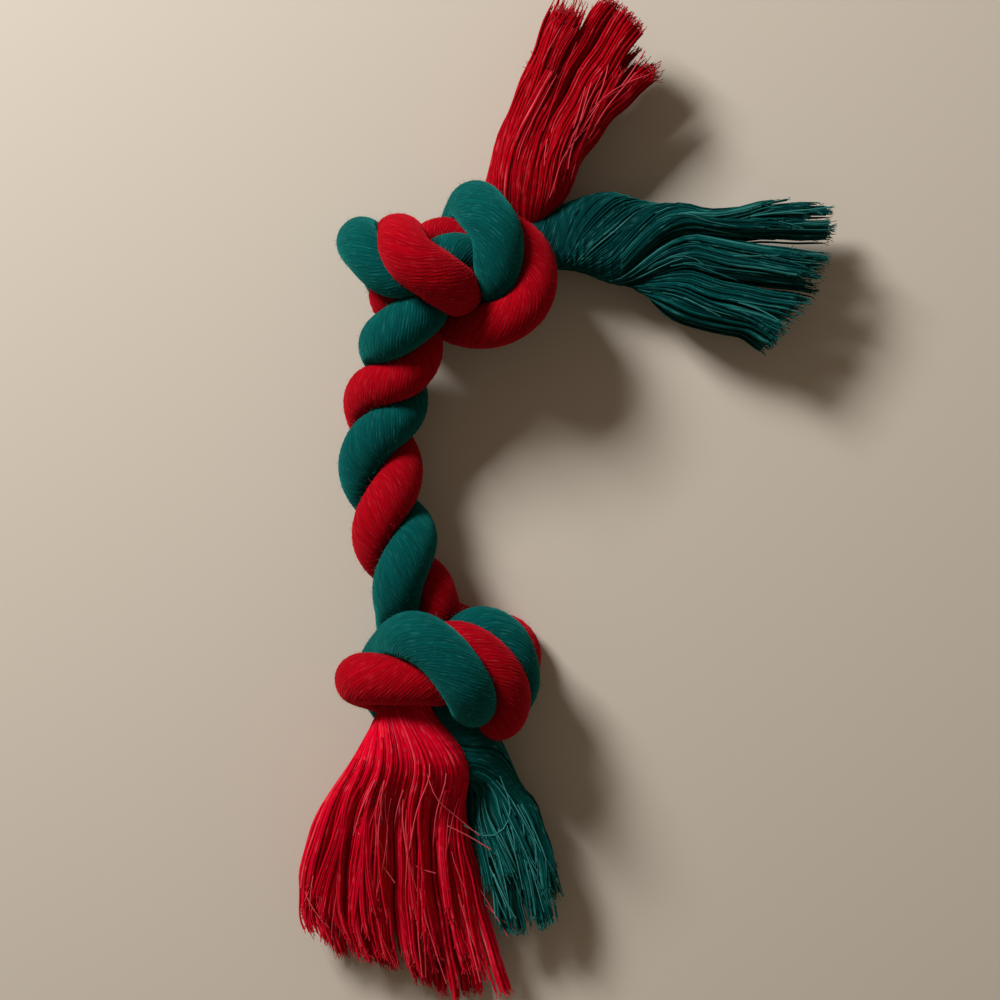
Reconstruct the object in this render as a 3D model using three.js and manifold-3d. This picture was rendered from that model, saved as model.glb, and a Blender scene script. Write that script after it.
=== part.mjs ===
// A rope dog toy: two strands of twisted cotton yarn, one red and one green, laid up as a short
// rope. The doubled rope has an overhand knot at each end, and past each knot the strands come
// apart into tassels. The toy lies on a flat surface, +Z up, with the rope along Y.
import * as THREE from "three";
import Module from "manifold-3d";
import { toCreasedNormals } from "three/addons/utils/BufferGeometryUtils.js";

const wasm = await Module();
wasm.setup();

// Driving dimensions, in millimetres and degrees.
const STRAND_DIAMETER = 8.5;
const LAY_RADIUS = 2.8; // from the middle of the rope to the middle of each strand
const KNOT_GAP = 0.4; // between strands that press against each other
const CUT_GAP = 0.3; // between two pieces of one strand
const FLOOR_FLAT = 0.85; // how deep a strand is flattened by its own weight
const HINGE_GAP = 0.35; // between the two halves of the rope where it bends
const ROOT_CLEARANCE = 0.5; // between a tassel that swings and the knot round its root
const RING_STEP = 2.6;
const FINE_STEP = 1;
const RING_SIDES = 14;
const LOCK_SIDES = 14;
const HINGE_SIDES = 40;
const NOSE_ANGLES = [18, 42, 66, 90];
const CREASE_ANGLE = 50;

// How close the middles of two strands are squeezed in a tight knot, and how firmly each point
// keeps its own place while the strands push each other apart, as shares.
const SQUEEZE_SHARE = 0.66;
const KEEP_SHARE = 0.06;
const SETTLE_ROUNDS = 250;
const POINT_STEP_SHARE = 0.235;
const SELF_SHARE = 0.94; // strand between two points before they count as touching
const BEND_SHARE = 0.25;
const STIFF_SHARE = 0.02;
const END_SHARE = 0.5; // how firmly a strand stays put where its tassel starts
const END_POINTS = 4;
const INNER_SHARE = 0.95; // of the bend's own radius that the inside of a bend may fill
const NOSE_SHARE = 0.38; // radius of the round end that a tassel swings on
const SHOULDER_SHARE = 0.55; // where a tassel's root is widened, from its nose to its locks
const FULL_SHARE = 0.75; // how full a lock's oval section is: 1 is an ellipse, less is squarer

const RED = new THREE.MeshStandardMaterial({ color: 0xb01522, roughness: 0.9, metalness: 0 });
const GREEN = new THREE.MeshStandardMaterial({ color: 0x0f5a55, roughness: 0.9, metalness: 0 });

// Turns of each tassel, in degrees, from one end of its swing to the other.
const SWINGS = {
  red: { upper: [-10, 0, 10, 20], lower: [-16, -8, 0] },
  green: { upper: [-20, -10, 0, 10], lower: [0, 8, 16] },
};

// The middle of the toy's footprint in the routes below, in strand diameters.
const CENTRE_SHARES = [1.267, 0.01];

// Where the rope is bent sideways, on its middle line.
const BEND_PLACE_SHARES = [-2.31, 0.6];

// The middle line of the rope between the knots, from the upper knot down: x, y and z in strand
// diameters, then the whole turns that the green strand is past the top.
const ROPE_SHARES = [
  [-1.7, 3.96, 1.35, 2.28],
  [-1.78, 3.41, 1.27, 2.0],
  [-2.06, 2.44, 1.13, 1.5],
  [-2.36, 1.33, 1.04, 1.0],
  [-2.21, -0.14, 1.04, 0.5],
  [-1.86, -1.33, 1.2, 0.0],
  [-1.6, -2.02, 1.35, -0.33],
];

// Each strand's way through each knot, from the rope to the root of its tassel, in diameters.
const GREEN_UPPER_KNOT_SHARES = [
  [-1.1, 4.25, 0.94],
  [-0.95, 4.7, 0.54],
  [-0.85, 5.1, 0.52],
  [-0.66, 5.38, 0.82],
  [-0.38, 5.42, 1.41],
  [-0.17, 5.28, 2.0],
  [-0.02, 5.0, 2.35],
  [-0.04, 4.6, 2.41],
  [-0.06, 4.25, 2.12],
  [-0.16, 4.03, 1.47],
  [-0.35, 3.85, 0.76],
  [-0.75, 3.7, 0.51],
  [-1.25, 3.7, 0.49],
  [-1.7, 3.9, 0.49],
  [-2.1, 4.2, 0.51],
  [-2.3, 4.72, 0.86],
  [-2.36, 4.93, 1.4],
  [-2.22, 4.91, 1.9],
  [-2.0, 4.6, 2.06],
  [-1.73, 4.31, 1.76],
  [-1.36, 4.35, 1.62],
  [-0.95, 4.52, 1.65],
  [-0.49, 4.62, 1.5],
  [0.0, 4.75, 1.1],
  [0.45, 4.95, 0.75],
  [0.85, 5.08, 0.62],
];
const RED_UPPER_KNOT_SHARES = [
  [-2.04, 4.25, 1.25],
  [-1.8, 4.6, 1.15],
  [-1.46, 4.9, 1.05],
  [-1.03, 5.05, 0.95],
  [-0.54, 5.05, 1.1],
  [-0.04, 4.98, 1.47],
  [0.39, 4.85, 1.53],
  [0.62, 4.44, 1.59],
  [0.4, 3.86, 1.59],
  [-0.04, 3.55, 1.59],
  [-0.54, 3.52, 1.35],
  [-1.02, 3.7, 0.9],
  [-1.48, 3.86, 1.0],
  [-1.98, 4.1, 1.0],
  [-2.2, 4.5, 0.95],
  [-2.2, 4.85, 1.1],
  [-2.06, 4.78, 1.62],
  [-1.86, 4.63, 2.22],
  [-1.6, 4.44, 2.55],
  [-1.3, 4.3, 2.5],
  [-1.01, 4.1, 2.12],
  [-0.74, 4.1, 1.41],
  [-0.43, 4.33, 0.76],
  [-0.1, 4.8, 0.52],
  [0.06, 5.3, 0.52],
];
const GREEN_LOWER_KNOT_SHARES = [
  [-2.01, -2.5, 1.06],
  [-1.89, -2.92, 0.71],
  [-1.58, -3.32, 0.52],
  [-1.2, -3.55, 0.51],
  [-0.75, -3.75, 0.56],
  [-0.5, -3.82, 1.12],
  [-0.54, -3.66, 1.82],
  [-0.7, -3.4, 2.47],
  [-0.9, -3.1, 2.82],
  [-1.15, -2.82, 2.88],
  [-1.5, -2.62, 2.71],
  [-1.73, -2.62, 2.18],
  [-1.96, -2.78, 1.47],
  [-2.1, -3.02, 0.82],
  [-2.25, -3.36, 0.51],
  [-2.1, -3.7, 0.51],
  [-1.75, -3.95, 0.51],
  [-1.23, -4.1, 0.51],
  [-0.65, -4.1, 0.53],
  [-0.15, -3.85, 0.71],
  [0.12, -3.5, 1.06],
  [0.2, -3.1, 1.5],
  [0.05, -2.7, 1.8],
  [-0.35, -2.52, 1.75],
  [-0.74, -2.75, 1.41],
  [-1.0, -3.2, 1.32],
  [-1.06, -3.7, 1.25],
  [-0.97, -4.2, 1.25],
  [-0.55, -4.8, 1.12],
];
const RED_LOWER_KNOT_SHARES = [
  [-1.18, -2.35, 0.94],
  [-0.83, -2.57, 0.59],
  [-0.32, -2.7, 0.52],
  [0.12, -2.92, 0.51],
  [0.35, -3.3, 0.52],
  [0.02, -3.6, 0.65],
  [-0.43, -3.65, 1.24],
  [-0.84, -3.5, 1.88],
  [-1.32, -3.38, 2.12],
  [-1.78, -3.43, 2.12],
  [-2.24, -3.42, 2.12],
  [-2.6, -3.42, 1.94],
  [-2.72, -3.5, 1.41],
  [-2.4, -3.58, 1.06],
  [-2.05, -3.75, 0.76],
  [-1.58, -3.9, 0.6],
  [-0.99, -3.95, 0.6],
  [-0.45, -4.05, 0.88],
  [-0.17, -3.95, 1.5],
  [-0.05, -3.65, 2.0],
  [-0.1, -3.3, 2.25],
  [-0.38, -3.0, 2.15],
  [-0.78, -2.93, 1.88],
  [-1.3, -3.15, 1.47],
  [-1.62, -3.55, 1.3],
  [-1.72, -4.0, 1.38],
];

// Each tassel, from the knot outwards: how high its middle is, how thick it is, and its edges
// with the borders between its locks, in strand diameters.
const UPPER_RED_TASSEL_SHARES = [
  { height: 0.82, thick: 1.29, edges: [[-0.31, 6.17], [1.30, 5.95]] },
  { height: 0.85, thick: 1.24, edges: [[-0.06, 7.06], [0.94, 6.88], [1.81, 6.72]] },
  { height: 0.85, thick: 1.15, edges: [[0.40, 8.21], [1.43, 7.95], [2.59, 7.62]] },
  { height: 0.80, thick: 1.05, edges: [[0.82, 9.24], [1.81, 8.95], [3.05, 8.41]] },
  { height: 0.78, thick: 1.00, edges: [[1.04, 9.77], [2.05, 9.55], [3.30, 8.75]] },
];
const UPPER_GREEN_TASSEL_SHARES = [
  { height: 0.73, thick: 1.29, edges: [[1.72, 5.99], [1.65, 4.47]] },
  { height: 0.75, thick: 1.20, edges: [[2.75, 6.02], [2.91, 5.35], [2.87, 4.69], [2.64, 4.02]] },
  { height: 0.80, thick: 1.10, edges: [[4.09, 5.70], [4.28, 5.12], [4.17, 4.28], [3.81, 3.42]] },
  { height: 0.80, thick: 1.00, edges: [[5.23, 5.92], [5.35, 5.11], [5.15, 4.13], [4.60, 3.19]] },
  { height: 0.80, thick: 0.95, edges: [[6.30, 5.92], [6.22, 5.15], [6.02, 4.25], [5.05, 2.94]] },
];
const LOWER_RED_TASSEL_SHARES = [
  { height: 1.01, thick: 1.59, edges: [[-2.82, -4.93], [-0.86, -5.03]] },
  {
    height: 0.82,
    thick: 1.47,
    edges: [[-3.54, -6.01], [-2.79, -6.25], [-2.00, -6.37], [-1.22, -6.33], [-0.56, -6.17]],
  },
  {
    height: 0.75,
    thick: 1.25,
    edges: [[-3.82, -7.13], [-2.99, -7.33], [-2.09, -7.44], [-1.18, -7.44], [-0.41, -7.29]],
  },
  {
    height: 0.55,
    thick: 1.00,
    edges: [[-3.84, -7.95], [-2.97, -8.34], [-2.07, -8.54], [-1.11, -8.62], [-0.28, -8.50]],
  },
  {
    height: 0.45,
    thick: 0.85,
    edges: [[-3.71, -8.24], [-2.77, -8.88], [-1.90, -9.31], [-0.91, -9.82], [0.06, -9.70]],
  },
];
const LOWER_GREEN_TASSEL_SHARES = [
  { height: 0.64, thick: 1.12, edges: [[-0.36, -5.74], [0.46, -5.66]] },
  { height: 0.70, thick: 1.10, edges: [[-0.28, -6.15], [0.24, -6.11], [0.67, -5.99]] },
  { height: 0.75, thick: 1.00, edges: [[-0.20, -7.12], [0.44, -7.09], [1.02, -6.97]] },
  { height: 0.70, thick: 0.90, edges: [[-0.16, -8.12], [0.63, -8.16], [1.24, -7.80]] },
];

// A smooth line through hand-placed points, as points at an even step.
function evenly(points, step) {
  const curve = new THREE.CatmullRomCurve3(points, false, "centripetal");
  const fineCount = 12;
  const fine = curve.getPoints(fineCount * (points.length - 1));
  const along = [0];
  for (let i = 1; i < fine.length; i += 1) along.push(along[i - 1] + fine[i].distanceTo(fine[i - 1]));
  const total = along[along.length - 1];
  const count = Math.round(total / step);
  const even = [];
  let span = 0;
  for (let i = 0; i <= count; i += 1) {
    const target = (total * i) / count;
    while (span < along.length - 2 && along[span + 1] < target) span += 1;
    const share = (target - along[span]) / (along[span + 1] - along[span]);
    even.push(fine[span].clone().lerp(fine[span + 1], share));
  }
  return even;
}

// Points in strand diameters, turned into millimetres about the toy's footprint.
function placed(shares) {
  return shares.map(([x, y, z]) => new THREE.Vector3(x - CENTRE_SHARES[0], y - CENTRE_SHARES[1], z)
    .multiplyScalar(STRAND_DIAMETER));
}

// The middle line of the rope, and the helix that one strand makes round it.
function ropeMiddle() {
  return placed(ROPE_SHARES);
}

function layHelix(startTurn) {
  const middle = new THREE.CatmullRomCurve3(ropeMiddle(), false, "centripetal");
  const spans = ROPE_SHARES.length - 1;
  const layCount = 5;
  const points = [];
  for (let i = 0; i <= spans * layCount; i += 1) {
    const at = i / (spans * layCount);
    const span = Math.min(Math.floor(at * spans), spans - 1);
    const share = at * spans - span;
    const turn = ROPE_SHARES[span][3] * (1 - share) + ROPE_SHARES[span + 1][3] * share;
    const angle = 2 * Math.PI * (0.25 - turn + startTurn);
    const along = middle.getTangent(at);
    const side = new THREE.Vector3(0, 0, 1).cross(along).normalize();
    const top = along.clone().cross(side);
    points.push(middle.getPoint(at)
      .addScaledVector(side, LAY_RADIUS * Math.cos(angle))
      .addScaledVector(top, LAY_RADIUS * Math.sin(angle)));
  }
  return points;
}

// One strand from the root of its upper tassel, through both knots, to its lower tassel, and the
// two places along it where the rope runs into the knots.
function strandLine(upperShares, lowerShares, startTurn) {
  const helix = layHelix(startTurn);
  const route = [...placed(upperShares).reverse(), ...helix, ...placed(lowerShares)];
  const points = evenly(route, POINT_STEP_SHARE * STRAND_DIAMETER);
  const knotEnds = [nearest(points, helix[0]), nearest(points, helix[helix.length - 1])];
  return { points, knotEnds };
}

function nearest(points, place) {
  let best = 0;
  points.forEach((point, i) => {
    if (point.distanceTo(place) < points[best].distanceTo(place)) best = i;
  });
  return best;
}

// Strands that are pulled tight push each other apart, stay bendy and lie on the floor.
function settle(lines) {
  const first = lines.map((line) => line.map((point) => point.clone()));
  const all = lines.flatMap((line, strand) => line.map((point, index) => ({ point, strand, index })));
  const near = Math.ceil(SELF_SHARE / POINT_STEP_SHARE);
  const closest = SQUEEZE_SHARE * STRAND_DIAMETER;
  const lowest = STRAND_DIAMETER / 2 - FLOOR_FLAT;
  for (let round = 0; round < SETTLE_ROUNDS; round += 1) {
    const moves = all.map((one) => {
      const move = new THREE.Vector3();
      let touching = 0;
      for (const other of all) {
        if (one.strand === other.strand && Math.abs(one.index - other.index) < near) continue;
        const apart = one.point.distanceTo(other.point);
        if (apart >= closest) continue;
        move.addScaledVector(one.point.clone().sub(other.point), (closest - apart) / apart);
        touching += 1;
      }
      return move.multiplyScalar(0.6 / Math.max(touching, 1));
    });
    all.forEach((one, i) => one.point.add(moves[i]));
    lines.forEach((line, strand) => relaxBends(line, first[strand], lowest));
  }
  return lines;
}

function relaxBends(line, first, lowest) {
  const sag = line.map((point, i) => (i === 0 || i === line.length - 1
    ? new THREE.Vector3()
    : line[i - 1].clone().add(line[i + 1]).multiplyScalar(0.5).sub(point)));
  for (let i = 1; i < line.length - 1; i += 1) {
    const unevenness = sag[i - 1].clone().add(sag[i + 1]).multiplyScalar(0.5).sub(sag[i]);
    line[i].addScaledVector(unevenness, -BEND_SHARE).addScaledVector(sag[i], STIFF_SHARE);
  }
  line.forEach((point, i) => {
    const fromEnd = Math.min(i, line.length - 1 - i);
    const keep = fromEnd < END_POINTS ? END_SHARE : KEEP_SHARE;
    point.x += (first[i].x - point.x) * keep;
    point.y += (first[i].y - point.y) * keep;
    if (fromEnd < END_POINTS) point.z += (first[i].z - point.z) * keep;
    point.z = Math.max(point.z, lowest);
  });
}

// A settled strand at a fine even step, with a tangent and an upright that turns as little as it
// can, so that the rings of neighbouring pieces line up.
function course(points, knotEnds) {
  const along = [0];
  for (let i = 1; i < points.length; i += 1) {
    along.push(along[i - 1] + points[i].distanceTo(points[i - 1]));
  }
  const fine = evenly(points, FINE_STEP);
  const tangents = fine.map((point, i) => fine[Math.min(i + 1, fine.length - 1)].clone()
    .sub(fine[Math.max(i - 1, 0)]).normalize());
  const uprights = [new THREE.Vector3(0, 0, 1).projectOnPlane(tangents[0]).normalize()];
  for (let i = 1; i < fine.length; i += 1) {
    uprights.push(uprights[i - 1].clone().projectOnPlane(tangents[i]).normalize());
  }
  const share = along[along.length - 1] / (fine.length - 1);
  return {
    fine,
    tangents,
    uprights,
    step: share,
    length: along[along.length - 1],
    knots: knotEnds.map((i) => along[i]),
  };
}

function stationOn(strand, distance) {
  const at = Math.min(Math.max(distance / strand.step, 0), strand.fine.length - 1);
  const i = Math.min(Math.floor(at), strand.fine.length - 2);
  const share = at - i;
  const tangent = strand.tangents[i].clone().lerp(strand.tangents[i + 1], share).normalize();
  return {
    at,
    centre: strand.fine[i].clone().lerp(strand.fine[i + 1], share),
    tangent,
    upright: strand.uprights[i].clone().lerp(strand.uprights[i + 1], share)
      .projectOnPlane(tangent).normalize(),
  };
}

// How far a strand's skin is from its middle in one direction: its own radius, or less where
// another strand, the inside of its own bend or the floor is in the way.
function reach(strand, strands, station, outward, grow) {
  let far = STRAND_DIAMETER / 2;
  let inner = STRAND_DIAMETER;
  const selfPoints = SELF_SHARE * STRAND_DIAMETER / strand.step;
  for (const other of strands) {
    other.fine.forEach((point, i) => {
      const toOther = point.clone().sub(station.centre);
      const apart = toOther.length();
      if (apart > STRAND_DIAMETER + KNOT_GAP) return;
      const facing = outward.dot(toOther) / apart;
      if (!(facing > 0)) return;
      const own = other === strand && Math.abs(i - station.at) < selfPoints;
      if (own) inner = Math.min(inner, INNER_SHARE * apart / 2 / facing);
      else far = Math.min(far, (apart - KNOT_GAP) / 2 / facing);
    });
  }
  far = Math.min(far + grow, inner);
  if (outward.z < 0) far = Math.min(far, station.centre.z / -outward.z);
  return far;
}

function strandRing(strand, strands, distance, grow) {
  const station = stationOn(strand, distance);
  const side = station.tangent.clone().cross(station.upright);
  return Array.from({ length: RING_SIDES }, (unused, k) => {
    const angle = 2 * Math.PI * k / RING_SIDES;
    const outward = station.upright.clone().multiplyScalar(Math.cos(angle))
      .addScaledVector(side, -Math.sin(angle));
    const far = reach(strand, strands, station, outward, grow);
    return station.centre.clone().addScaledVector(outward, far);
  });
}

function strandRings(strand, strands, from, to, grow) {
  const count = Math.max(2, Math.round((to - from) / RING_STEP));
  return Array.from({ length: count + 1 }, (unused, i) => (
    strandRing(strand, strands, from + (to - from) * i / count, grow)));
}

function strandPiece(strand, strands, from, to) {
  return loft(strandRings(strand, strands, from, to, 0));
}

// A fatter copy of a knotted strand, turned about a tassel's pivot, which cuts room for the
// tassel to swing. It is joined from short lengths, because the fat strand runs into itself.
function fatStrand(rings, pivot, degrees) {
  const upright = new THREE.Vector3(0, 0, 1);
  const turn = degrees * Math.PI / 180;
  const turned = rings.map((ring) => ring.map((point) => (
    point.clone().sub(pivot).applyAxisAngle(upright, turn).add(pivot))));
  let whole = loft(turned.slice(0, 2));
  for (let i = 1; i < turned.length - 1; i += 1) whole = whole.add(loft(turned.slice(i, i + 2)));
  return whole;
}

// A closed body through rings of equal size, with a flat fan at each end.
function loft(rings) {
  const sides = rings[0].length;
  const middle = (ring) => ring.reduce((sum, point) => sum.add(point), new THREE.Vector3())
    .divideScalar(sides);
  const points = [...rings.flat(), middle(rings[0]), middle(rings[rings.length - 1])];
  const corners = [];
  for (let r = 0; r < rings.length - 1; r += 1) {
    for (let k = 0; k < sides; k += 1) {
      const next = (k + 1) % sides;
      const [a, b] = [r * sides + k, r * sides + next];
      const [c, d] = [a + sides, b + sides];
      corners.push(a, b, d, a, d, c);
    }
  }
  const lastRing = (rings.length - 1) * sides;
  for (let k = 0; k < sides; k += 1) {
    const next = (k + 1) % sides;
    corners.push(points.length - 2, next, k);
    corners.push(points.length - 1, lastRing + k, lastRing + next);
  }
  if (signedVolume(points, corners) < 0) corners.reverse();
  return new wasm.Manifold(new wasm.Mesh({
    numProp: 3,
    vertProperties: Float32Array.from(points.flatMap((point) => point.toArray())),
    triVerts: Uint32Array.from(corners),
  }));
}

function signedVolume(points, corners) {
  let sum = 0;
  for (let i = 0; i < corners.length; i += 3) {
    const [a, b, c] = [points[corners[i]], points[corners[i + 1]], points[corners[i + 2]]];
    sum += a.dot(b.clone().cross(c)) / 6;
  }
  return sum;
}

// An upright oval section across a tassel, from one edge to the other, flat where it is on the
// floor.
function ovalRing(left, right, height, thick) {
  const middle = left.clone().add(right).multiplyScalar(0.5);
  const half = right.clone().sub(left).multiplyScalar(0.5);
  return Array.from({ length: LOCK_SIDES }, (unused, k) => {
    const angle = 2 * Math.PI * k / LOCK_SIDES;
    const point = middle.clone().addScaledVector(half, fuller(Math.cos(angle)));
    point.z = Math.max(0, height + thick / 2 * fuller(Math.sin(angle)));
    return point;
  });
}

function fuller(part) {
  return Math.sign(part) * Math.abs(part) ** FULL_SHARE;
}

// The rings of a half ball at the root of a tassel, so that the tassel can swing there.
function noseRings(centre, outward, across) {
  const radius = NOSE_SHARE * STRAND_DIAMETER;
  const side = across.clone().projectOnPlane(outward).normalize();
  const up = side.clone().cross(outward);
  up.multiplyScalar(Math.sign(up.z));
  return NOSE_ANGLES.map((degrees) => {
    const tip = degrees * Math.PI / 180;
    const middle = centre.clone().addScaledVector(outward, -radius * Math.cos(tip));
    return Array.from({ length: LOCK_SIDES }, (unused, k) => {
      const angle = 2 * Math.PI * k / LOCK_SIDES;
      return middle.clone()
        .addScaledVector(side, radius * Math.sin(tip) * Math.cos(angle))
        .addScaledVector(up, radius * Math.sin(tip) * Math.sin(angle));
    });
  });
}

// One tassel: its root, which narrows to a round nose against the end of its strand, and its
// locks side by side past the root.
function tassel(strand, atStart, rowShares) {
  const end = stationOn(strand, atStart ? 0 : strand.length);
  const outward = end.tangent.clone().multiplyScalar(atStart ? -1 : 1);
  const radius = NOSE_SHARE * STRAND_DIAMETER;
  const pivot = end.centre.clone().addScaledVector(outward, CUT_GAP + radius);
  const rows = rowShares.map((row) => ({
    height: row.height * STRAND_DIAMETER,
    thick: row.thick * STRAND_DIAMETER,
    edges: placed(row.edges.map(([x, y]) => [x, y, 0])),
  }));
  const count = rows[1].edges.length - 1;
  const [left, right] = rows[0].edges;
  const across = right.clone().sub(left);
  const noseSide = across.clone().projectOnPlane(outward).setZ(0).setLength(radius);
  const blend = ovalRing(
    pivot.clone().sub(noseSide).lerp(left, SHOULDER_SHARE),
    pivot.clone().add(noseSide).lerp(right, SHOULDER_SHARE),
    pivot.z + (rows[0].height - pivot.z) * SHOULDER_SHARE,
    2 * radius + (rows[0].thick - 2 * radius) * SHOULDER_SHARE,
  );
  const root = loft([
    ...noseRings(pivot, outward, across),
    blend,
    ovalRing(left, right, rows[0].height, rows[0].thick),
  ]);
  const locks = Array.from({ length: count }, (unused, j) => lock(rows, j, count));
  return { pivot, root, locks };
}

function lock(rows, j, count) {
  const [left, right] = rows[0].edges;
  const first = { ...rows[0], edges: [] };
  for (let i = 0; i <= count; i += 1) first.edges.push(left.clone().lerp(right, i / count));
  const away = rows[1].edges[j].clone().add(rows[1].edges[j + 1])
    .sub(first.edges[j]).sub(first.edges[j + 1]).setLength(CUT_GAP);
  first.edges = first.edges.map((edge) => edge.clone().add(away));
  const rings = [first, ...rows.slice(1)].map((row) => {
    const inward = row.edges[j + 1].clone().sub(row.edges[j]).setLength(CUT_GAP / 2);
    return ovalRing(
      row.edges[j].clone().add(inward),
      row.edges[j + 1].clone().sub(inward),
      row.height,
      row.thick,
    );
  });
  return loft(rings);
}

// An upright round post at the bend of the rope, and all of the rope on one side of it. Together
// they are what the lower half of the rope keeps, so that the two halves turn past each other.
function hingeCutter(place, grow) {
  const radius = LAY_RADIUS + STRAND_DIAMETER / 2 + grow;
  const tall = 4 * STRAND_DIAMETER;
  const ring = (z) => Array.from({ length: HINGE_SIDES }, (unused, k) => {
    const angle = 2 * Math.PI * k / HINGE_SIDES;
    return new THREE.Vector3(radius * Math.cos(angle), radius * Math.sin(angle), z).add(place);
  });
  const wide = 4 * STRAND_DIAMETER;
  const far = 12 * STRAND_DIAMETER;
  const corner = (x, y, z) => new THREE.Vector3(x, y, z).add(place);
  const side = (z) => [corner(-wide, 0, z), corner(wide, 0, z), corner(wide, -far, z), corner(-wide, -far, z)];
  return loft([ring(-tall), ring(tall)]).add(loft([side(-tall), side(tall)]));
}

// What is left of a body once others are cut out of it, without the slivers.
function clearOf(body, others) {
  const left = others.reduce((rest, other) => rest.subtract(other), body);
  return left.decompose().reduce((a, b) => (b.volume() > a.volume() ? b : a));
}

function meshFrom(name, body, material) {
  const made = body.getMesh();
  const geometry = new THREE.BufferGeometry();
  const points = [];
  for (let i = 0; i < made.vertProperties.length; i += made.numProp) {
    points.push(...made.vertProperties.slice(i, i + 3));
  }
  geometry.setAttribute("position", new THREE.Float32BufferAttribute(points, 3));
  geometry.setIndex(Array.from(made.triVerts));
  const creased = toCreasedNormals(geometry, CREASE_ANGLE * Math.PI / 180);
  const mesh = new THREE.Mesh(creased, material);
  mesh.name = name;
  return mesh;
}

const green = strandLine(GREEN_UPPER_KNOT_SHARES, GREEN_LOWER_KNOT_SHARES, 0);
const red = strandLine(RED_UPPER_KNOT_SHARES, RED_LOWER_KNOT_SHARES, 0.5);
settle([green.points, red.points]);
const strands = {
  red: course(red.points, red.knotEnds),
  green: course(green.points, green.knotEnds),
};
const pair = [strands.red, strands.green];
const materials = { red: RED, green: GREEN };
const tasselRows = {
  red: { upper: UPPER_RED_TASSEL_SHARES, lower: LOWER_RED_TASSEL_SHARES },
  green: { upper: UPPER_GREEN_TASSEL_SHARES, lower: LOWER_GREEN_TASSEL_SHARES },
};

const toy = new THREE.Group();
toy.name = "rope_dog_toy";
const bend = placed([[...BEND_PLACE_SHARES, 0]])[0];
const keepsLower = hingeCutter(bend, HINGE_GAP);
const clearsUpper = hingeCutter(bend, 2 * HINGE_GAP);
const fatKnots = { upper: [], lower: [] };
for (const [colour, strand] of Object.entries(strands)) {
  const [upperEnd, lowerEnd] = strand.knots;
  const knotUpper = strandPiece(strand, pair, 0, upperEnd - CUT_GAP / 2);
  const knotLower = strandPiece(strand, pair, lowerEnd + CUT_GAP / 2, strand.length);
  const rope = strandPiece(strand, pair, upperEnd + CUT_GAP / 2, lowerEnd - CUT_GAP / 2);
  toy.add(meshFrom(`${colour}_knot_upper`, knotUpper, materials[colour]));
  toy.add(meshFrom(`${colour}_rope_upper`, rope.subtract(clearsUpper), materials[colour]));
  toy.add(meshFrom(`${colour}_rope_lower`, rope.intersect(keepsLower), materials[colour]));
  toy.add(meshFrom(`${colour}_knot_lower`, knotLower, materials[colour]));
  fatKnots.upper.push(strandRings(strand, pair, 0, upperEnd - CUT_GAP / 2, ROOT_CLEARANCE));
  fatKnots.lower.push(
    strandRings(strand, pair, lowerEnd + CUT_GAP / 2, strand.length, ROOT_CLEARANCE),
  );
}
for (const [colour, strand] of Object.entries(strands)) {
  for (const end of ["upper", "lower"]) {
    const made = tassel(strand, end === "upper", tasselRows[colour][end]);
    const cutters = SWINGS[colour][end].flatMap((degrees) => (
      fatKnots[end].map((rings) => fatStrand(rings, made.pivot, -degrees))));
    const root = clearOf(made.root, cutters);
    toy.add(meshFrom(`${colour}_tassel_${end}_root`, root, materials[colour]));
    made.locks.forEach((body, i) => {
      const lockBody = clearOf(body, cutters);
      toy.add(meshFrom(`${colour}_tassel_${end}_lock_${i + 1}`, lockBody, materials[colour]));
    });
  }
}

export default toy;
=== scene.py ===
# %% [markdown]
# # A rope dog toy
# Two strands of soft cotton yarn, one red and one green, are laid up into a short rope. The doubled
# rope has an overhand knot at each end, and past the knots the strands fray into four tassels.
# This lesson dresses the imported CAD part. It starts with the frame, then the camera and the two
# strands, and goes on to the tassels, the fuzz, the finishes and the light.

import math

import bpy
import numpy as np
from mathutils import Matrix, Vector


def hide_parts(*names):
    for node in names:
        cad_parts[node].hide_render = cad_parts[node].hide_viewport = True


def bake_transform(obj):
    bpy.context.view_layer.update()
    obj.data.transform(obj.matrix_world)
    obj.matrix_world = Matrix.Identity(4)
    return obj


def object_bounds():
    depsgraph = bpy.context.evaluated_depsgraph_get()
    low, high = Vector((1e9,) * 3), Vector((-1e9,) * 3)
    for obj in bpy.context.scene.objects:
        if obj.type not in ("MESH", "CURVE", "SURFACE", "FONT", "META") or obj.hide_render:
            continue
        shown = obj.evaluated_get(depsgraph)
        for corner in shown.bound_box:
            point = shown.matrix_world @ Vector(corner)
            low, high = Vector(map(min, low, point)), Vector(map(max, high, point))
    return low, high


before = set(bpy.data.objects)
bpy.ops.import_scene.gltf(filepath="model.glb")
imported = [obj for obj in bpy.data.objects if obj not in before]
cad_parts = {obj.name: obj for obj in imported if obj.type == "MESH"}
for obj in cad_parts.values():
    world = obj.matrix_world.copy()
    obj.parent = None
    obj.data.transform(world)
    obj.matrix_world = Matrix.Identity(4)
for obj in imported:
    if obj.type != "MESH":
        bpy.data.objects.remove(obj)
cad_low, cad_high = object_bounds()
print("CAD box:", [round(v, 4) for v in cad_low], [round(v, 4) for v in cad_high])

# %% [markdown]
# ## The camera
# The photograph looks straight down. A camera that is turned by nothing looks down -Z with +Y at
# the top of the picture, so it only needs a place and a lens. The floor in the picture is 170 mm
# wide, and from 400 mm up that is a lens angle of 24 degrees.

# %% Put the camera above the toy
CAMERA_HEIGHT = 0.4
PICTURE_WIDTH = 0.17
STRAND_DIAMETER = 0.0085
CENTRE_SHARES = (1.267, 0.01)
NEAREST_SEEN = 0.01

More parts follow.
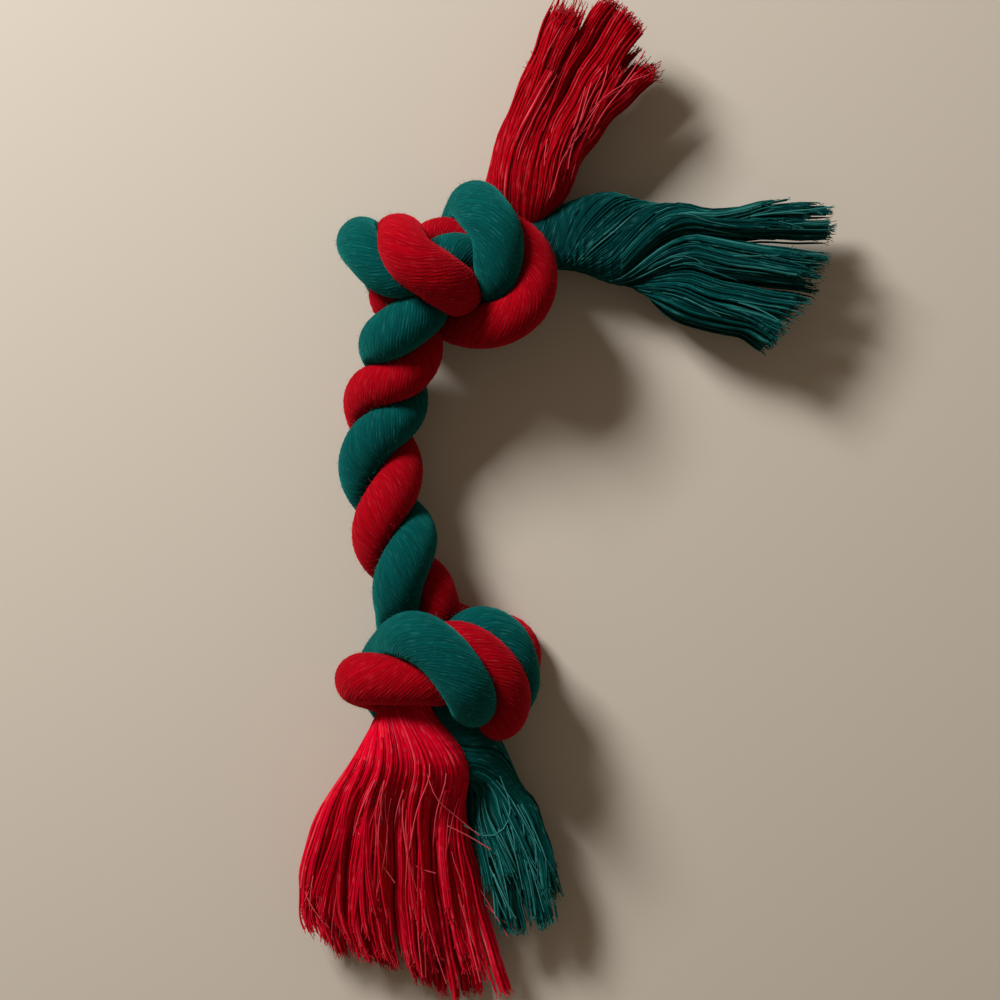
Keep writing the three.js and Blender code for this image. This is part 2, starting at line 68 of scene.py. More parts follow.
camera_data = bpy.data.cameras.new("overhead_camera")
camera_data.sensor_fit = "HORIZONTAL"
camera_data.angle = 2 * math.atan(PICTURE_WIDTH / 2 / CAMERA_HEIGHT)
camera_data.clip_start = NEAREST_SEEN
camera = bpy.data.objects.new("overhead_camera", camera_data)
camera.location = (
    -CENTRE_SHARES[0] * STRAND_DIAMETER,
    -CENTRE_SHARES[1] * STRAND_DIAMETER,
    CAMERA_HEIGHT,
)
bpy.context.scene.collection.objects.link(camera)
bpy.context.scene.camera = camera
print("lens angle:", round(math.degrees(camera_data.angle), 2))

# %% [markdown]
# ## The way of the strands
# A rope is a fixed length of something flexible, so its route comes first. These are the same
# points as in the CAD part, in strand diameters: the middle of the rope, and each strand's way
# through each knot, from the rope to the root of its tassel. The fourth number in the rope's rows
# counts the turns of its lay.

# %% The points of the routes
ROPE_SHARES = [
    (-1.7, 3.96, 1.35, 2.28),
    (-1.78, 3.41, 1.27, 2.0),
    (-2.06, 2.44, 1.13, 1.5),
    (-2.36, 1.33, 1.04, 1.0),
    (-2.21, -0.14, 1.04, 0.5),
    (-1.86, -1.33, 1.2, 0.0),
    (-1.6, -2.02, 1.35, -0.33),
]
GREEN_UPPER_KNOT_SHARES = [
    (-1.1, 4.25, 0.94), (-0.95, 4.7, 0.54), (-0.85, 5.1, 0.52), (-0.66, 5.38, 0.82),
    (-0.38, 5.42, 1.41), (-0.17, 5.28, 2.0), (-0.02, 5.0, 2.35), (-0.04, 4.6, 2.41),
    (-0.06, 4.25, 2.12), (-0.16, 4.03, 1.47), (-0.35, 3.85, 0.76), (-0.75, 3.7, 0.51),
    (-1.25, 3.7, 0.49), (-1.7, 3.9, 0.49), (-2.1, 4.2, 0.51), (-2.3, 4.72, 0.86),
    (-2.36, 4.93, 1.4), (-2.22, 4.91, 1.9), (-2.0, 4.6, 2.06), (-1.73, 4.31, 1.76),
    (-1.36, 4.35, 1.62), (-0.95, 4.52, 1.65), (-0.49, 4.62, 1.5), (0.0, 4.75, 1.1),
    (0.45, 4.95, 0.75), (0.85, 5.08, 0.62),
]
RED_UPPER_KNOT_SHARES = [
    (-2.04, 4.25, 1.25), (-1.8, 4.6, 1.15), (-1.46, 4.9, 1.05), (-1.03, 5.05, 0.95),
    (-0.54, 5.05, 1.1), (-0.04, 4.98, 1.47), (0.39, 4.85, 1.53), (0.62, 4.44, 1.59),
    (0.4, 3.86, 1.59), (-0.04, 3.55, 1.59), (-0.54, 3.52, 1.35), (-1.02, 3.7, 0.9),
    (-1.48, 3.86, 1.0), (-1.98, 4.1, 1.0), (-2.2, 4.5, 0.95), (-2.2, 4.85, 1.1),
    (-2.06, 4.78, 1.62), (-1.86, 4.63, 2.22), (-1.6, 4.44, 2.55), (-1.3, 4.3, 2.5),
    (-1.01, 4.1, 2.12), (-0.74, 4.1, 1.41), (-0.43, 4.33, 0.76), (-0.1, 4.8, 0.52),
    (0.06, 5.3, 0.52),
]
GREEN_LOWER_KNOT_SHARES = [
    (-2.01, -2.5, 1.06), (-1.89, -2.92, 0.71), (-1.58, -3.32, 0.52), (-1.2, -3.55, 0.51),
    (-0.75, -3.75, 0.56), (-0.5, -3.82, 1.12), (-0.54, -3.66, 1.82), (-0.7, -3.4, 2.47),
    (-0.9, -3.1, 2.82), (-1.15, -2.82, 2.88), (-1.5, -2.62, 2.71), (-1.73, -2.62, 2.18),
    (-1.96, -2.78, 1.47), (-2.1, -3.02, 0.82), (-2.25, -3.36, 0.51), (-2.1, -3.7, 0.51),
    (-1.75, -3.95, 0.51), (-1.23, -4.1, 0.51), (-0.65, -4.1, 0.53), (-0.15, -3.85, 0.71),
    (0.12, -3.5, 1.06), (0.2, -3.1, 1.5), (0.05, -2.7, 1.8), (-0.35, -2.52, 1.75),
    (-0.74, -2.75, 1.41), (-1.0, -3.2, 1.32), (-1.06, -3.7, 1.25), (-0.97, -4.2, 1.25),
    (-0.55, -4.8, 1.12),
]
RED_LOWER_KNOT_SHARES = [
    (-1.18, -2.35, 0.94), (-0.83, -2.57, 0.59), (-0.32, -2.7, 0.52), (0.12, -2.92, 0.51),
    (0.35, -3.3, 0.52), (0.02, -3.6, 0.65), (-0.43, -3.65, 1.24), (-0.84, -3.5, 1.88),
    (-1.32, -3.38, 2.12), (-1.78, -3.43, 2.12), (-2.24, -3.42, 2.12), (-2.6, -3.42, 1.94),
    (-2.72, -3.5, 1.41), (-2.4, -3.58, 1.06), (-2.05, -3.75, 0.76), (-1.58, -3.9, 0.6),
    (-0.99, -3.95, 0.6), (-0.45, -4.05, 0.88), (-0.17, -3.95, 1.5), (-0.05, -3.65, 2.0),
    (-0.1, -3.3, 2.25), (-0.38, -3.0, 2.15), (-0.78, -2.93, 1.88), (-1.3, -3.15, 1.47),
    (-1.62, -3.55, 1.3), (-1.72, -4.0, 1.38),
]


def placed(shares):
    """Points in strand diameters, as metres about the middle of the toy's footprint."""
    points = np.array(shares, dtype=float)[:, :3]
    points[:, 0] -= CENTRE_SHARES[0]
    points[:, 1] -= CENTRE_SHARES[1]
    return points * STRAND_DIAMETER


# %% [markdown]
# ## A smooth line through the points
# A centripetal Catmull-Rom curve passes through every point and makes no loops where two of them
# lie close. The CAD part uses the same curve, so both give the same line.

# %% The smooth curve
FINE_POINTS_PER_SPAN = 12
ROUNDING = 1e-9
CENTRIPETAL = 0.25


def on_curve(points, at):
    """The place at share at (0 to 1) of the curve through the points."""
    last = len(points) - 1
    span = min(int(math.floor(at * last + ROUNDING)), last - 1)
    weight = at * last - span
    a, b = points[span], points[span + 1]
    before = points[span - 1] if span > 0 else 2 * a - b
    after = points[span + 2] if span + 2 <= last else 2 * b - a
    gaps = [np.sum((q - p) ** 2) ** CENTRIPETAL for p, q in ((before, a), (a, b), (b, after))]
    leave = (a - before) / gaps[0] - (b - before) / (gaps[0] + gaps[1]) + (b - a) / gaps[1]
    arrive = (b - a) / gaps[1] - (after - a) / (gaps[1] + gaps[2]) + (after - b) / gaps[2]
    leave, arrive = leave * gaps[1], arrive * gaps[1]
    square, cube = weight**2, weight**3
    return (
        (2 * cube - 3 * square + 1) * a
        + (cube - 2 * square + weight) * leave
        + (3 * square - 2 * cube) * b
        + (cube - square) * arrive
    )


def evenly(points, step):
    """The curve through the points, as new points at an even step."""
    count = FINE_POINTS_PER_SPAN * (len(points) - 1)
    fine = np.array([on_curve(points, i / count) for i in range(count + 1)])
    along = lengths_along(fine)
    places = np.linspace(0, along[-1], round(along[-1] / step) + 1)
    return sampled(fine, along, places)


def lengths_along(points):
    """How far along a line each of its points is."""
    return np.concatenate(([0.0], np.cumsum(np.linalg.norm(np.diff(points, axis=0), axis=1))))


def sampled(points, along, places):
    """Points at these places on a line whose own points are at the places along."""
    return np.stack([np.interp(places, along, points[:, i]) for i in range(points.shape[1])], axis=1)


# %% [markdown]
# ## The lay of the rope
# Between the knots the two strands wind round each other. Each is a helix about the rope's middle
# line, and they are half a turn apart.

# %% Lay the strands
LAY_RADIUS = 0.0028
LAY_STEPS_PER_SPAN = 5
TANGENT_SHARE = 0.0001
QUARTER_TURN = 0.25


def lay_helix(start_turn):
    """One strand's helix round the middle line of the rope."""
    middle = placed(ROPE_SHARES)
    turns = [row[3] for row in ROPE_SHARES]
    spans = len(ROPE_SHARES) - 1
    points = []
    for at in np.linspace(0, 1, spans * LAY_STEPS_PER_SPAN + 1):
        turn = np.interp(at * spans, range(spans + 1), turns)
        angle = 2 * math.pi * (QUARTER_TURN - turn + start_turn)
        low, high = max(at - TANGENT_SHARE, 0), min(at + TANGENT_SHARE, 1)
        ahead = unit(on_curve(middle, high) - on_curve(middle, low))
        side = unit(np.cross((0, 0, 1), ahead))
        top = np.cross(ahead, side)
        offset = side * math.cos(angle) + top * math.sin(angle)
        points.append(on_curve(middle, at) + LAY_RADIUS * offset)
    return np.array(points)


def unit(vectors):
    """Vectors made one unit long."""
    return vectors / np.linalg.norm(vectors, axis=-1, keepdims=True)


# %% [markdown]
# ## Settling the strands
# The given points overlap a little in a tight knot. The strands are settled as in the CAD part:
# points of different strands push each other apart, each strand stays bendy, and nothing goes
# below the floor. The rule is short enough to run again here, so no table of results is needed.

# %% Settle the strands
SQUEEZE_SHARE = 0.66
KEEP_SHARE = 0.06
END_SHARE = 0.5
POINT_STEP_SHARE = 0.235
SELF_SHARE = 0.94
BEND_SHARE = 0.25
STIFF_SHARE = 0.02
PUSH_SHARE = 0.6
SETTLE_ROUNDS = 250
END_POINTS = 4
FLOOR_FLAT = 0.00085
HALF_TURN = 0.5
LIMIT_STEP = 0.001


def settle(lines):
    """Push the strands apart, round by round, and return where each one comes to rest."""
    first = [line.copy() for line in lines]
    near = math.ceil(SELF_SHARE / POINT_STEP_SHARE)
    closest = SQUEEZE_SHARE * STRAND_DIAMETER
    strand = np.concatenate([np.full(len(line), i) for i, line in enumerate(lines)])
    index = np.concatenate([np.arange(len(line)) for line in lines])
    own = (strand[:, None] == strand) & (np.abs(index[:, None] - index) < near)
    for _ in range(SETTLE_ROUNDS):
        points = np.concatenate(lines)
        between = points[:, None] - points
        apart = np.linalg.norm(between, axis=2)
        touching = (apart < closest) & ~own
        push = np.where(touching, (closest - apart) / np.where(apart == 0, 1, apart), 0)
        moves = (between * push[:, :, None]).sum(axis=1)
        points += moves * (PUSH_SHARE / np.maximum(touching.sum(axis=1), 1))[:, None]
        lines = np.split(points, [len(lines[0])])
        lines = [relaxed(line, start) for line, start in zip(lines, first)]
    return lines


def relaxed(line, first):
    """One round of bending stiffness, of keeping to the route, and of the floor."""
    line = line.copy()
    sag = np.zeros_like(line)
    sag[1:-1] = (line[:-2] + line[2:]) / 2 - line[1:-1]
    unevenness = (sag[:-2] + sag[2:]) / 2 - sag[1:-1]
    line[1:-1] += STIFF_SHARE * sag[1:-1] - BEND_SHARE * unevenness
    from_end = np.minimum(np.arange(len(line)), np.arange(len(line))[::-1])
    ends = from_end < END_POINTS
    keep = np.where(ends, END_SHARE, KEEP_SHARE)[:, None]
    line[:, :2] += (first[:, :2] - line[:, :2]) * keep
    line[ends, 2] += (first[ends, 2] - line[ends, 2]) * END_SHARE
    line[:, 2] = np.maximum(line[:, 2], STRAND_DIAMETER / 2 - FLOOR_FLAT)
    return line


def strand_parts(upper_shares, lower_shares, start_turn):
    """A strand's upper knot, its winding in the rope and its lower knot, from tassel to tassel."""
    return placed(upper_shares)[::-1], lay_helix(start_turn), placed(lower_shares)


def strand_route(parts):
    """A strand's points at an even step."""
    return evenly(np.concatenate(parts), POINT_STEP_SHARE * STRAND_DIAMETER)


def rope_share(parts):
    """The shares of a strand's length where its rope starts and ends."""
    along = lengths_along(np.concatenate(parts))
    return along[len(parts[0])] / along[-1], along[-len(parts[-1]) - 1] / along[-1]


parts_of = {
    "red": strand_parts(RED_UPPER_KNOT_SHARES, RED_LOWER_KNOT_SHARES, HALF_TURN),
    "green": strand_parts(GREEN_UPPER_KNOT_SHARES, GREEN_LOWER_KNOT_SHARES, 0),
}
green_line, red_line = settle([strand_route(parts_of["green"]), strand_route(parts_of["red"])])
strand_lines = {"red": red_line, "green": green_line}
rope_spans = {name: rope_share(parts) for name, parts in parts_of.items()}
limit_lines = {name: evenly(line, LIMIT_STEP) for name, line in strand_lines.items()}

# %% [markdown]
# ## The shape of a pressed strand
# A strand is round where it is free. In a knot it is pressed flat against its neighbours, so its
# skin stops half-way to them. Each ring of the skin is worked out on an even circle of directions
# and then softened a little, because yarn has no sharp corners.

# %% How far the skin is from the middle
SKIN_STEP = 0.00072
SKIN_DIRECTIONS = 96
PRESS_GAP = 0.0001
INNER_SHARE = 0.95
SOFT_DIRECTIONS = 2.5
SOFT_RINGS = 1.5
SOFT_REACH = 6


def frames_along(points):
    """The direction of a line at each point, and an upright that turns as little as it can."""
    ahead = unit(np.gradient(points, axis=0))
    upright = np.array((0.0, 0.0, 1.0))
    uprights = []
    for direction in ahead:
        upright = unit(upright - direction * np.dot(upright, direction))
        uprights.append(upright)
    return ahead, np.array(uprights)


def skin_reach(name, centres, ahead, uprights):
    """For each ring, the distance from the middle to the skin in every direction."""
    turns = np.arange(SKIN_DIRECTIONS) * 2 * math.pi / SKIN_DIRECTIONS
    along = lengths_along(centres)
    reach = np.empty((len(centres), SKIN_DIRECTIONS))
    for i, centre in enumerate(centres):
        side = np.cross(ahead[i], uprights[i])
        outward = np.outer(np.cos(turns), uprights[i]) + np.outer(np.sin(turns), side)
        far = np.full(SKIN_DIRECTIONS, STRAND_DIAMETER / 2)
        inner = np.full(SKIN_DIRECTIONS, STRAND_DIAMETER)
        for other, line in limit_lines.items():
            to_other = line - centre
            apart = np.linalg.norm(to_other, axis=1)
            close = (apart < STRAND_DIAMETER) & (apart > LIMIT_STEP)
            facing = outward @ (to_other[close] / apart[close, None]).T
            facing = np.where(facing > 0, facing, np.nan)
            away = np.abs(np.arange(len(line))[close] * along[-1] / (len(line) - 1) - along[i])
            own = (other == name) & (away < SELF_SHARE * STRAND_DIAMETER)
            limits = (apart[close] - PRESS_GAP) / 2 / facing
            bends = INNER_SHARE * apart[close] / 2 / facing
            far = np.fmin(far, np.nanmin(np.where(own, np.inf, limits), axis=1, initial=np.inf))
            inner = np.fmin(inner, np.nanmin(np.where(own, bends, np.inf), axis=1, initial=np.inf))
        reach[i] = np.minimum(far, inner)
    return softened(reach)


def softened(grid):
    """The grid of distances, blurred round the rings and along them."""
    for axis, spread in ((0, SOFT_RINGS), (1, SOFT_DIRECTIONS)):
        offsets = np.arange(-SOFT_REACH, SOFT_REACH + 1)
        weights = np.exp(-0.5 * (offsets / spread) ** 2)
        weights /= weights.sum()
        if axis == 1:
            grid = sum(w * np.roll(grid, o, axis=1) for w, o in zip(weights, offsets))
            continue
        padded = np.pad(grid, ((SOFT_REACH, SOFT_REACH), (0, 0)), mode="edge")
        starts = SOFT_REACH + offsets
        grid = sum(w * padded[start:start + len(grid)] for w, start in zip(weights, starts))
    return grid


# %% [markdown]
# ## Yarns round a strand
# About 36 yarns show round each strand, and they lean 45 to 50 degrees to its way. Their twist is
# tightest in the rope, where the outer side of each strand's winding is also its longest, and
# slackens towards the tassels. The columns of the skin's mesh turn with them, five columns to a
# yarn, so that every ridge follows its own yarn. The map on the mesh counts yarns across and
# millimetres along.

# %% Build a strand's skin
YARNS_ROUND = 36
COLUMNS_PER_YARN = 5
ROPE_PITCH = 0.0155
KNOT_PITCH = 0.025
TASSEL_PITCH = 0.03
PITCH_CHANGE = 0.008
END_TAPER = 0.004
END_TAPER_SHARE = 0.82
MAP_NAME = "yarn_map"
MAP_UNIT = 0.001
MILLILITRE = 1e-6


def twist_along(name, along):
    """How far the yarns have turned at each place along a strand."""
    start, stop = (share * along[-1] for share in rope_spans[name])
    places = [0, 2 * PITCH_CHANGE, start - PITCH_CHANGE, start + PITCH_CHANGE]
    places += [stop - PITCH_CHANGE, stop + PITCH_CHANGE, along[-1] - 2 * PITCH_CHANGE, along[-1]]
    pitches = [TASSEL_PITCH, KNOT_PITCH, KNOT_PITCH, ROPE_PITCH]
    pitch = np.interp(along, places, pitches + pitches[::-1])
    return np.concatenate(([0.0], np.cumsum(np.diff(along) / pitch[1:]))) * 2 * math.pi


def strand_skin(name):
    """A closed mesh for one strand, pressed by its neighbours and turned with its yarns."""
    centres = evenly(strand_lines[name], SKIN_STEP)
    ahead, uprights = frames_along(centres)
    reach = skin_reach(name, centres, ahead, uprights)
    along = lengths_along(centres)
    columns = YARNS_ROUND * COLUMNS_PER_YARN
    turns = np.arange(columns) * 2 * math.pi / columns
    twist = twist_along(name, along)
    rows = []
    for i, centre in enumerate(centres):
        turned = turns - twist[i]
        place = turned / (2 * math.pi) * SKIN_DIRECTIONS
        cell = np.floor(place).astype(int)
        share = place - cell
        now, later = reach[i][cell % SKIN_DIRECTIONS], reach[i][(cell + 1) % SKIN_DIRECTIONS]
        far = now * (1 - share) + later * share
        end = min(along[i], along[-1] - along[i])
        far = far * (END_TAPER_SHARE + (1 - END_TAPER_SHARE) * min(end / END_TAPER, 1) ** 0.5)
        side = np.cross(ahead[i], uprights[i])
        outward = np.outer(np.cos(turned), uprights[i]) + np.outer(np.sin(turned), side)
        ring = centre + outward * far[:, None]
        ring[:, 2] = np.maximum(ring[:, 2], 0)
        rows.append(ring)
    return closed_tube(f"{name}_strand", np.array(rows), along)


def closed_tube(name, rows, along):
    """A mesh from rings of points, closed at both ends, with its yarn map."""
    rings, columns = rows.shape[:2]
    points = np.concatenate((rows.reshape(-1, 3), [rows[0].mean(axis=0), rows[-1].mean(axis=0)]))
    faces = []
    corners = []
    across = np.arange(columns + 1) / columns * YARNS_ROUND
    far_along = along / MAP_UNIT
    for i in range(rings - 1):
        for k in range(columns):
            n = (k + 1) % columns
            faces.append((i * columns + k, i * columns + n, (i + 1) * columns + n, (i + 1) * columns + k))
            corners += [
                (across[k], far_along[i]),
                (across[k + 1], far_along[i]),
                (across[k + 1], far_along[i + 1]),
                (across[k], far_along[i + 1]),
            ]
    for ring, tip, step in ((0, len(points) - 2, -1), (rings - 1, len(points) - 1, 1)):
        for k in range(columns):
            pair = (k, (k + 1) % columns)[::step]
            faces.append((ring * columns + pair[0], ring * columns + pair[1], tip))
            corners += [(across[k], far_along[ring])] * 3
    mesh = bpy.data.meshes.new(name)
    mesh.from_pydata(points.tolist(), [], faces)
    mesh.uv_layers.new(name=MAP_NAME).data.foreach_set("uv", np.array(corners).ravel())
    columns_at = np.tile(np.arange(columns) / columns, rings)
    store(mesh, "around", np.concatenate((columns_at, [0.0, 0.0])))
    store(mesh, "along", np.concatenate((np.repeat(along, columns), [along[0], along[-1]])))
    mesh.shade_smooth()
    return mesh


def store(mesh, name, values):
    """Keep one number for each point of a mesh."""
    mesh.attributes.new(name, "FLOAT", "POINT").data.foreach_set("value", values)


def volume_of(mesh):
    """The volume inside a mesh, which is below 0 if its faces point inwards."""
    mesh.calc_loop_triangles()
    corners = np.empty(len(mesh.loop_triangles) * 3, dtype=int)
    mesh.loop_triangles.foreach_get("vertices", corners)
    points = np.empty(len(mesh.vertices) * 3)
    mesh.vertices.foreach_get("co", points)
    a, b, c = points.reshape(-1, 3)[corners.reshape(-1, 3)].transpose(1, 0, 2)
    return float((a * np.cross(b, c)).sum() / 6)


def outwards(mesh):
    """Turn a mesh the right way out."""
    if volume_of(mesh) < 0:
        mesh.flip_normals()
    return mesh


skins = {name: outwards(strand_skin(name)) for name in strand_lines}
for name, mesh in skins.items():
    print(f"{name} strand skin: {len(mesh.polygons)} faces, {volume_of(mesh) / MILLILITRE:.1f} ml")

# %% [markdown]
# ## Ridges from Geometry Nodes
# The yarns round a strand follow one rule, so a small node tree lifts them out of the skin. It
# reads how far round each point is, makes a rounded ridge for each yarn, and lets the yarns rise,
# sink and wander a little with noise. Its sizes are named inputs, and its seed is fixed.

# %% Helpers for node trees
def new_tree(name, inputs):
    """An empty geometry tree with a geometry in and out and the named inputs."""
    tree = bpy.data.node_groups.new(name, "GeometryNodeTree")
    tree.interface.new_socket("Geometry", in_out="INPUT", socket_type="NodeSocketGeometry")
    for label, kind in inputs:
        tree.interface.new_socket(label, in_out="INPUT", socket_type=f"NodeSocket{kind}")
    tree.interface.new_socket("Geometry", in_out="OUTPUT", socket_type="NodeSocketGeometry")
    return tree


def add(tree, kind, settings=None, links=None):
    """A new node, with its settings, and with its inputs set or linked by name."""
    node = tree.nodes.new(kind)
    for key, value in (settings or {}).items():
        setattr(node, key, value)
    for key, value in (links or {}).items():
        socket = node.inputs[key]
        if isinstance(value, bpy.types.NodeSocket):
            tree.links.new(value, socket)
        else:
            socket.default_value = value
    return node


def maths(tree, operation, *values):
    """A Math node's result."""
    node = add(tree, "ShaderNodeMath", {"operation": operation})
    for i, value in enumerate(values):
        if isinstance(value, bpy.types.NodeSocket):
            tree.links.new(value, node.inputs[i])
        else:
            node.inputs[i].default_value = value
    return node.outputs[0]


def times(tree, a, b):
    """One value times another, in a tree."""
    return maths(tree, "MULTIPLY", a, b)


def plus(tree, a, b):
    """The sum of two values, in a tree."""
    return maths(tree, "ADD", a, b)


def minus(tree, a, b):
    """One value less another, in a tree."""
    return maths(tree, "SUBTRACT", a, b)


def stored(tree, name):
    """The number that a mesh keeps under this name."""
    node = add(tree, "GeometryNodeInputNamedAttribute", {"data_type": "FLOAT"}, {"Name": name})
    return node.outputs["Attribute"]


def noise_at(tree, x, y, detail):
    """Soft noise at a place on a plane, from 0 to 1."""
    place = add(tree, "ShaderNodeCombineXYZ", links={"X": x, "Y": y})
    noise = add(tree, "ShaderNodeTexNoise", {"noise_dimensions": "2D"}, {
        "Vector": place.outputs[0],
        "Scale": 1.0,
        "Detail": detail,
    })
    return noise.outputs[0]


def finish_tree(tree, geometry, material):
    """End a tree: instances become real, the material is set and the geometry goes out."""
    real = add(tree, "GeometryNodeRealizeInstances", links={"Geometry": geometry}).outputs[0]
    dressed = add(tree, "GeometryNodeSetMaterial", links={"Geometry": real, "Material": material})
    add(tree, "NodeGroupOutput", links={"Geometry": dressed.outputs[0]})
    return tree


def made_by(tree, mesh, name, values):
    """Run a tree on a mesh with these inputs, and return the plain mesh that it makes."""
    carrier = bpy.data.objects.new(name, mesh)
    bpy.context.scene.collection.objects.link(carrier)
    modifier = carrier.modifiers.new(tree.name, "NODES")
    modifier.node_group = tree
    for socket in tree.interface.items_tree:
        if socket.in_out == "INPUT" and socket.name in values:
            modifier[socket.identifier] = values[socket.name]
    graph = bpy.context.evaluated_depsgraph_get()
    made = bpy.data.meshes.new_from_object(carrier.evaluated_get(graph), depsgraph=graph)
    carrier.modifiers.clear()
    bpy.data.objects.remove(carrier)
    made.name = name
    return made


def link_piece(name, mesh):
    """A finished mesh as an object at the origin."""
    piece = bpy.data.objects.new(name, mesh)
    bpy.context.scene.collection.objects.link(piece)
    return piece


# %% The tree for the ridges
YARN_NOISE_STEP = 7.31
SOFT_DETAIL = 2.0
FLOOR_LIMIT = (-1.0, -1.0, 0.0)


def ridge_tree():
    """Lifts a ridge for each yarn out of a strand's skin."""
    tree = new_tree("Yarn ridges", [
        ("Yarns", "Int"),
        ("Ridge Depth", "Float"),
        ("Ridge Shape", "Float"),
        ("Unevenness", "Float"),
        ("Uneven Length", "Float"),
        ("Seed", "Int"),
        ("Material", "Material"),
    ])
    put_in = tree.nodes.new("NodeGroupInput").outputs
    yarns = times(tree, stored(tree, "around"), put_in["Yarns"])
    inside = maths(tree, "FRACT", yarns)
    rise = maths(tree, "SINE", times(tree, inside, math.pi))
    ridge = maths(tree, "POWER", maths(tree, "MAXIMUM", rise, 0.0), put_in["Ridge Shape"])
    sink = times(tree, minus(tree, ridge, 1.0), put_in["Ridge Depth"])
    which = plus(tree, maths(tree, "FLOOR", yarns), put_in["Seed"])
    run = maths(tree, "DIVIDE", stored(tree, "along"), put_in["Uneven Length"])
    noise = noise_at(tree, times(tree, which, YARN_NOISE_STEP), run, SOFT_DETAIL)
    lift = times(tree, minus(tree, noise, 0.5), put_in["Unevenness"])
    amount = plus(tree, sink, times(tree, lift, ridge))
    normal = tree.nodes.new("GeometryNodeInputNormal").outputs[0]
    offset = add(tree, "ShaderNodeVectorMath", {"operation": "SCALE"}, {"Vector": normal, "Scale": amount})
    moved = add(tree, "GeometryNodeSetPosition", links={
        "Geometry": put_in["Geometry"],
        "Offset": offset.outputs[0],
    })
    place = tree.nodes.new("GeometryNodeInputPosition").outputs[0]
    above = add(tree, "ShaderNodeVectorMath", {"operation": "MAXIMUM"}, {0: place, 1: FLOOR_LIMIT})
    lifted = add(tree, "GeometryNodeSetPosition", links={
        "Geometry": moved.outputs[0],
        "Position": above.outputs[0],
    })
    smooth = add(tree, "GeometryNodeSetShadeSmooth", links={"Geometry": lifted.outputs[0]})
    return finish_tree(tree, smooth.outputs[0], put_in["Material"])


ridges = ridge_tree()
print("tree:", ridges.name, "with", len(ridges.nodes), "nodes")

# %% [markdown]
# ## The cotton finish
# Cotton yarn has no gloss. What shows is its colour, a little lighter on some yarns and along some
# stretches, with painted shade down in the grooves and between the yarns, and fine fibres along
# the yarn and pale ones on top. One shader group makes these from a yarn's number, the place
# across it, the place along it and its painted shade, and the materials of both colours and of
# strands and tassels use it with their own values.

# %% The shader group for cotton yarn
SLOW_NOISE_STEP = 5.17
SLOW_NOISE_RATE = 0.11
SLOW_CONTRAST = 0.5
FIBRE_NOISE_STEP = 7.3
FIBRES_ACROSS = 2.5
FIBRE_DETAIL = 1.0
PLY_LENGTH = 1.7
PLY_HEIGHT = 0.25
LEAST_TONE = 0.3
STRAY_LEVEL = 0.6
STRAY_CONTRAST = 2.4
LIGHT_LEVEL = 0.4
LIGHT_CONTRAST = 2.0
MIX_INPUTS = (0, 6, 7)
MIX_RESULT = 2


def mixed(group, share, colour_at_0, colour_at_1):
    """Two colours mixed by a share."""
    node = add(group, "ShaderNodeMix", {"data_type": "RGBA", "clamp_factor": True})
    for index, value in zip(MIX_INPUTS, (share, colour_at_0, colour_at_1)):
        group.links.new(value, node.inputs[index])
    return node.outputs[MIX_RESULT]


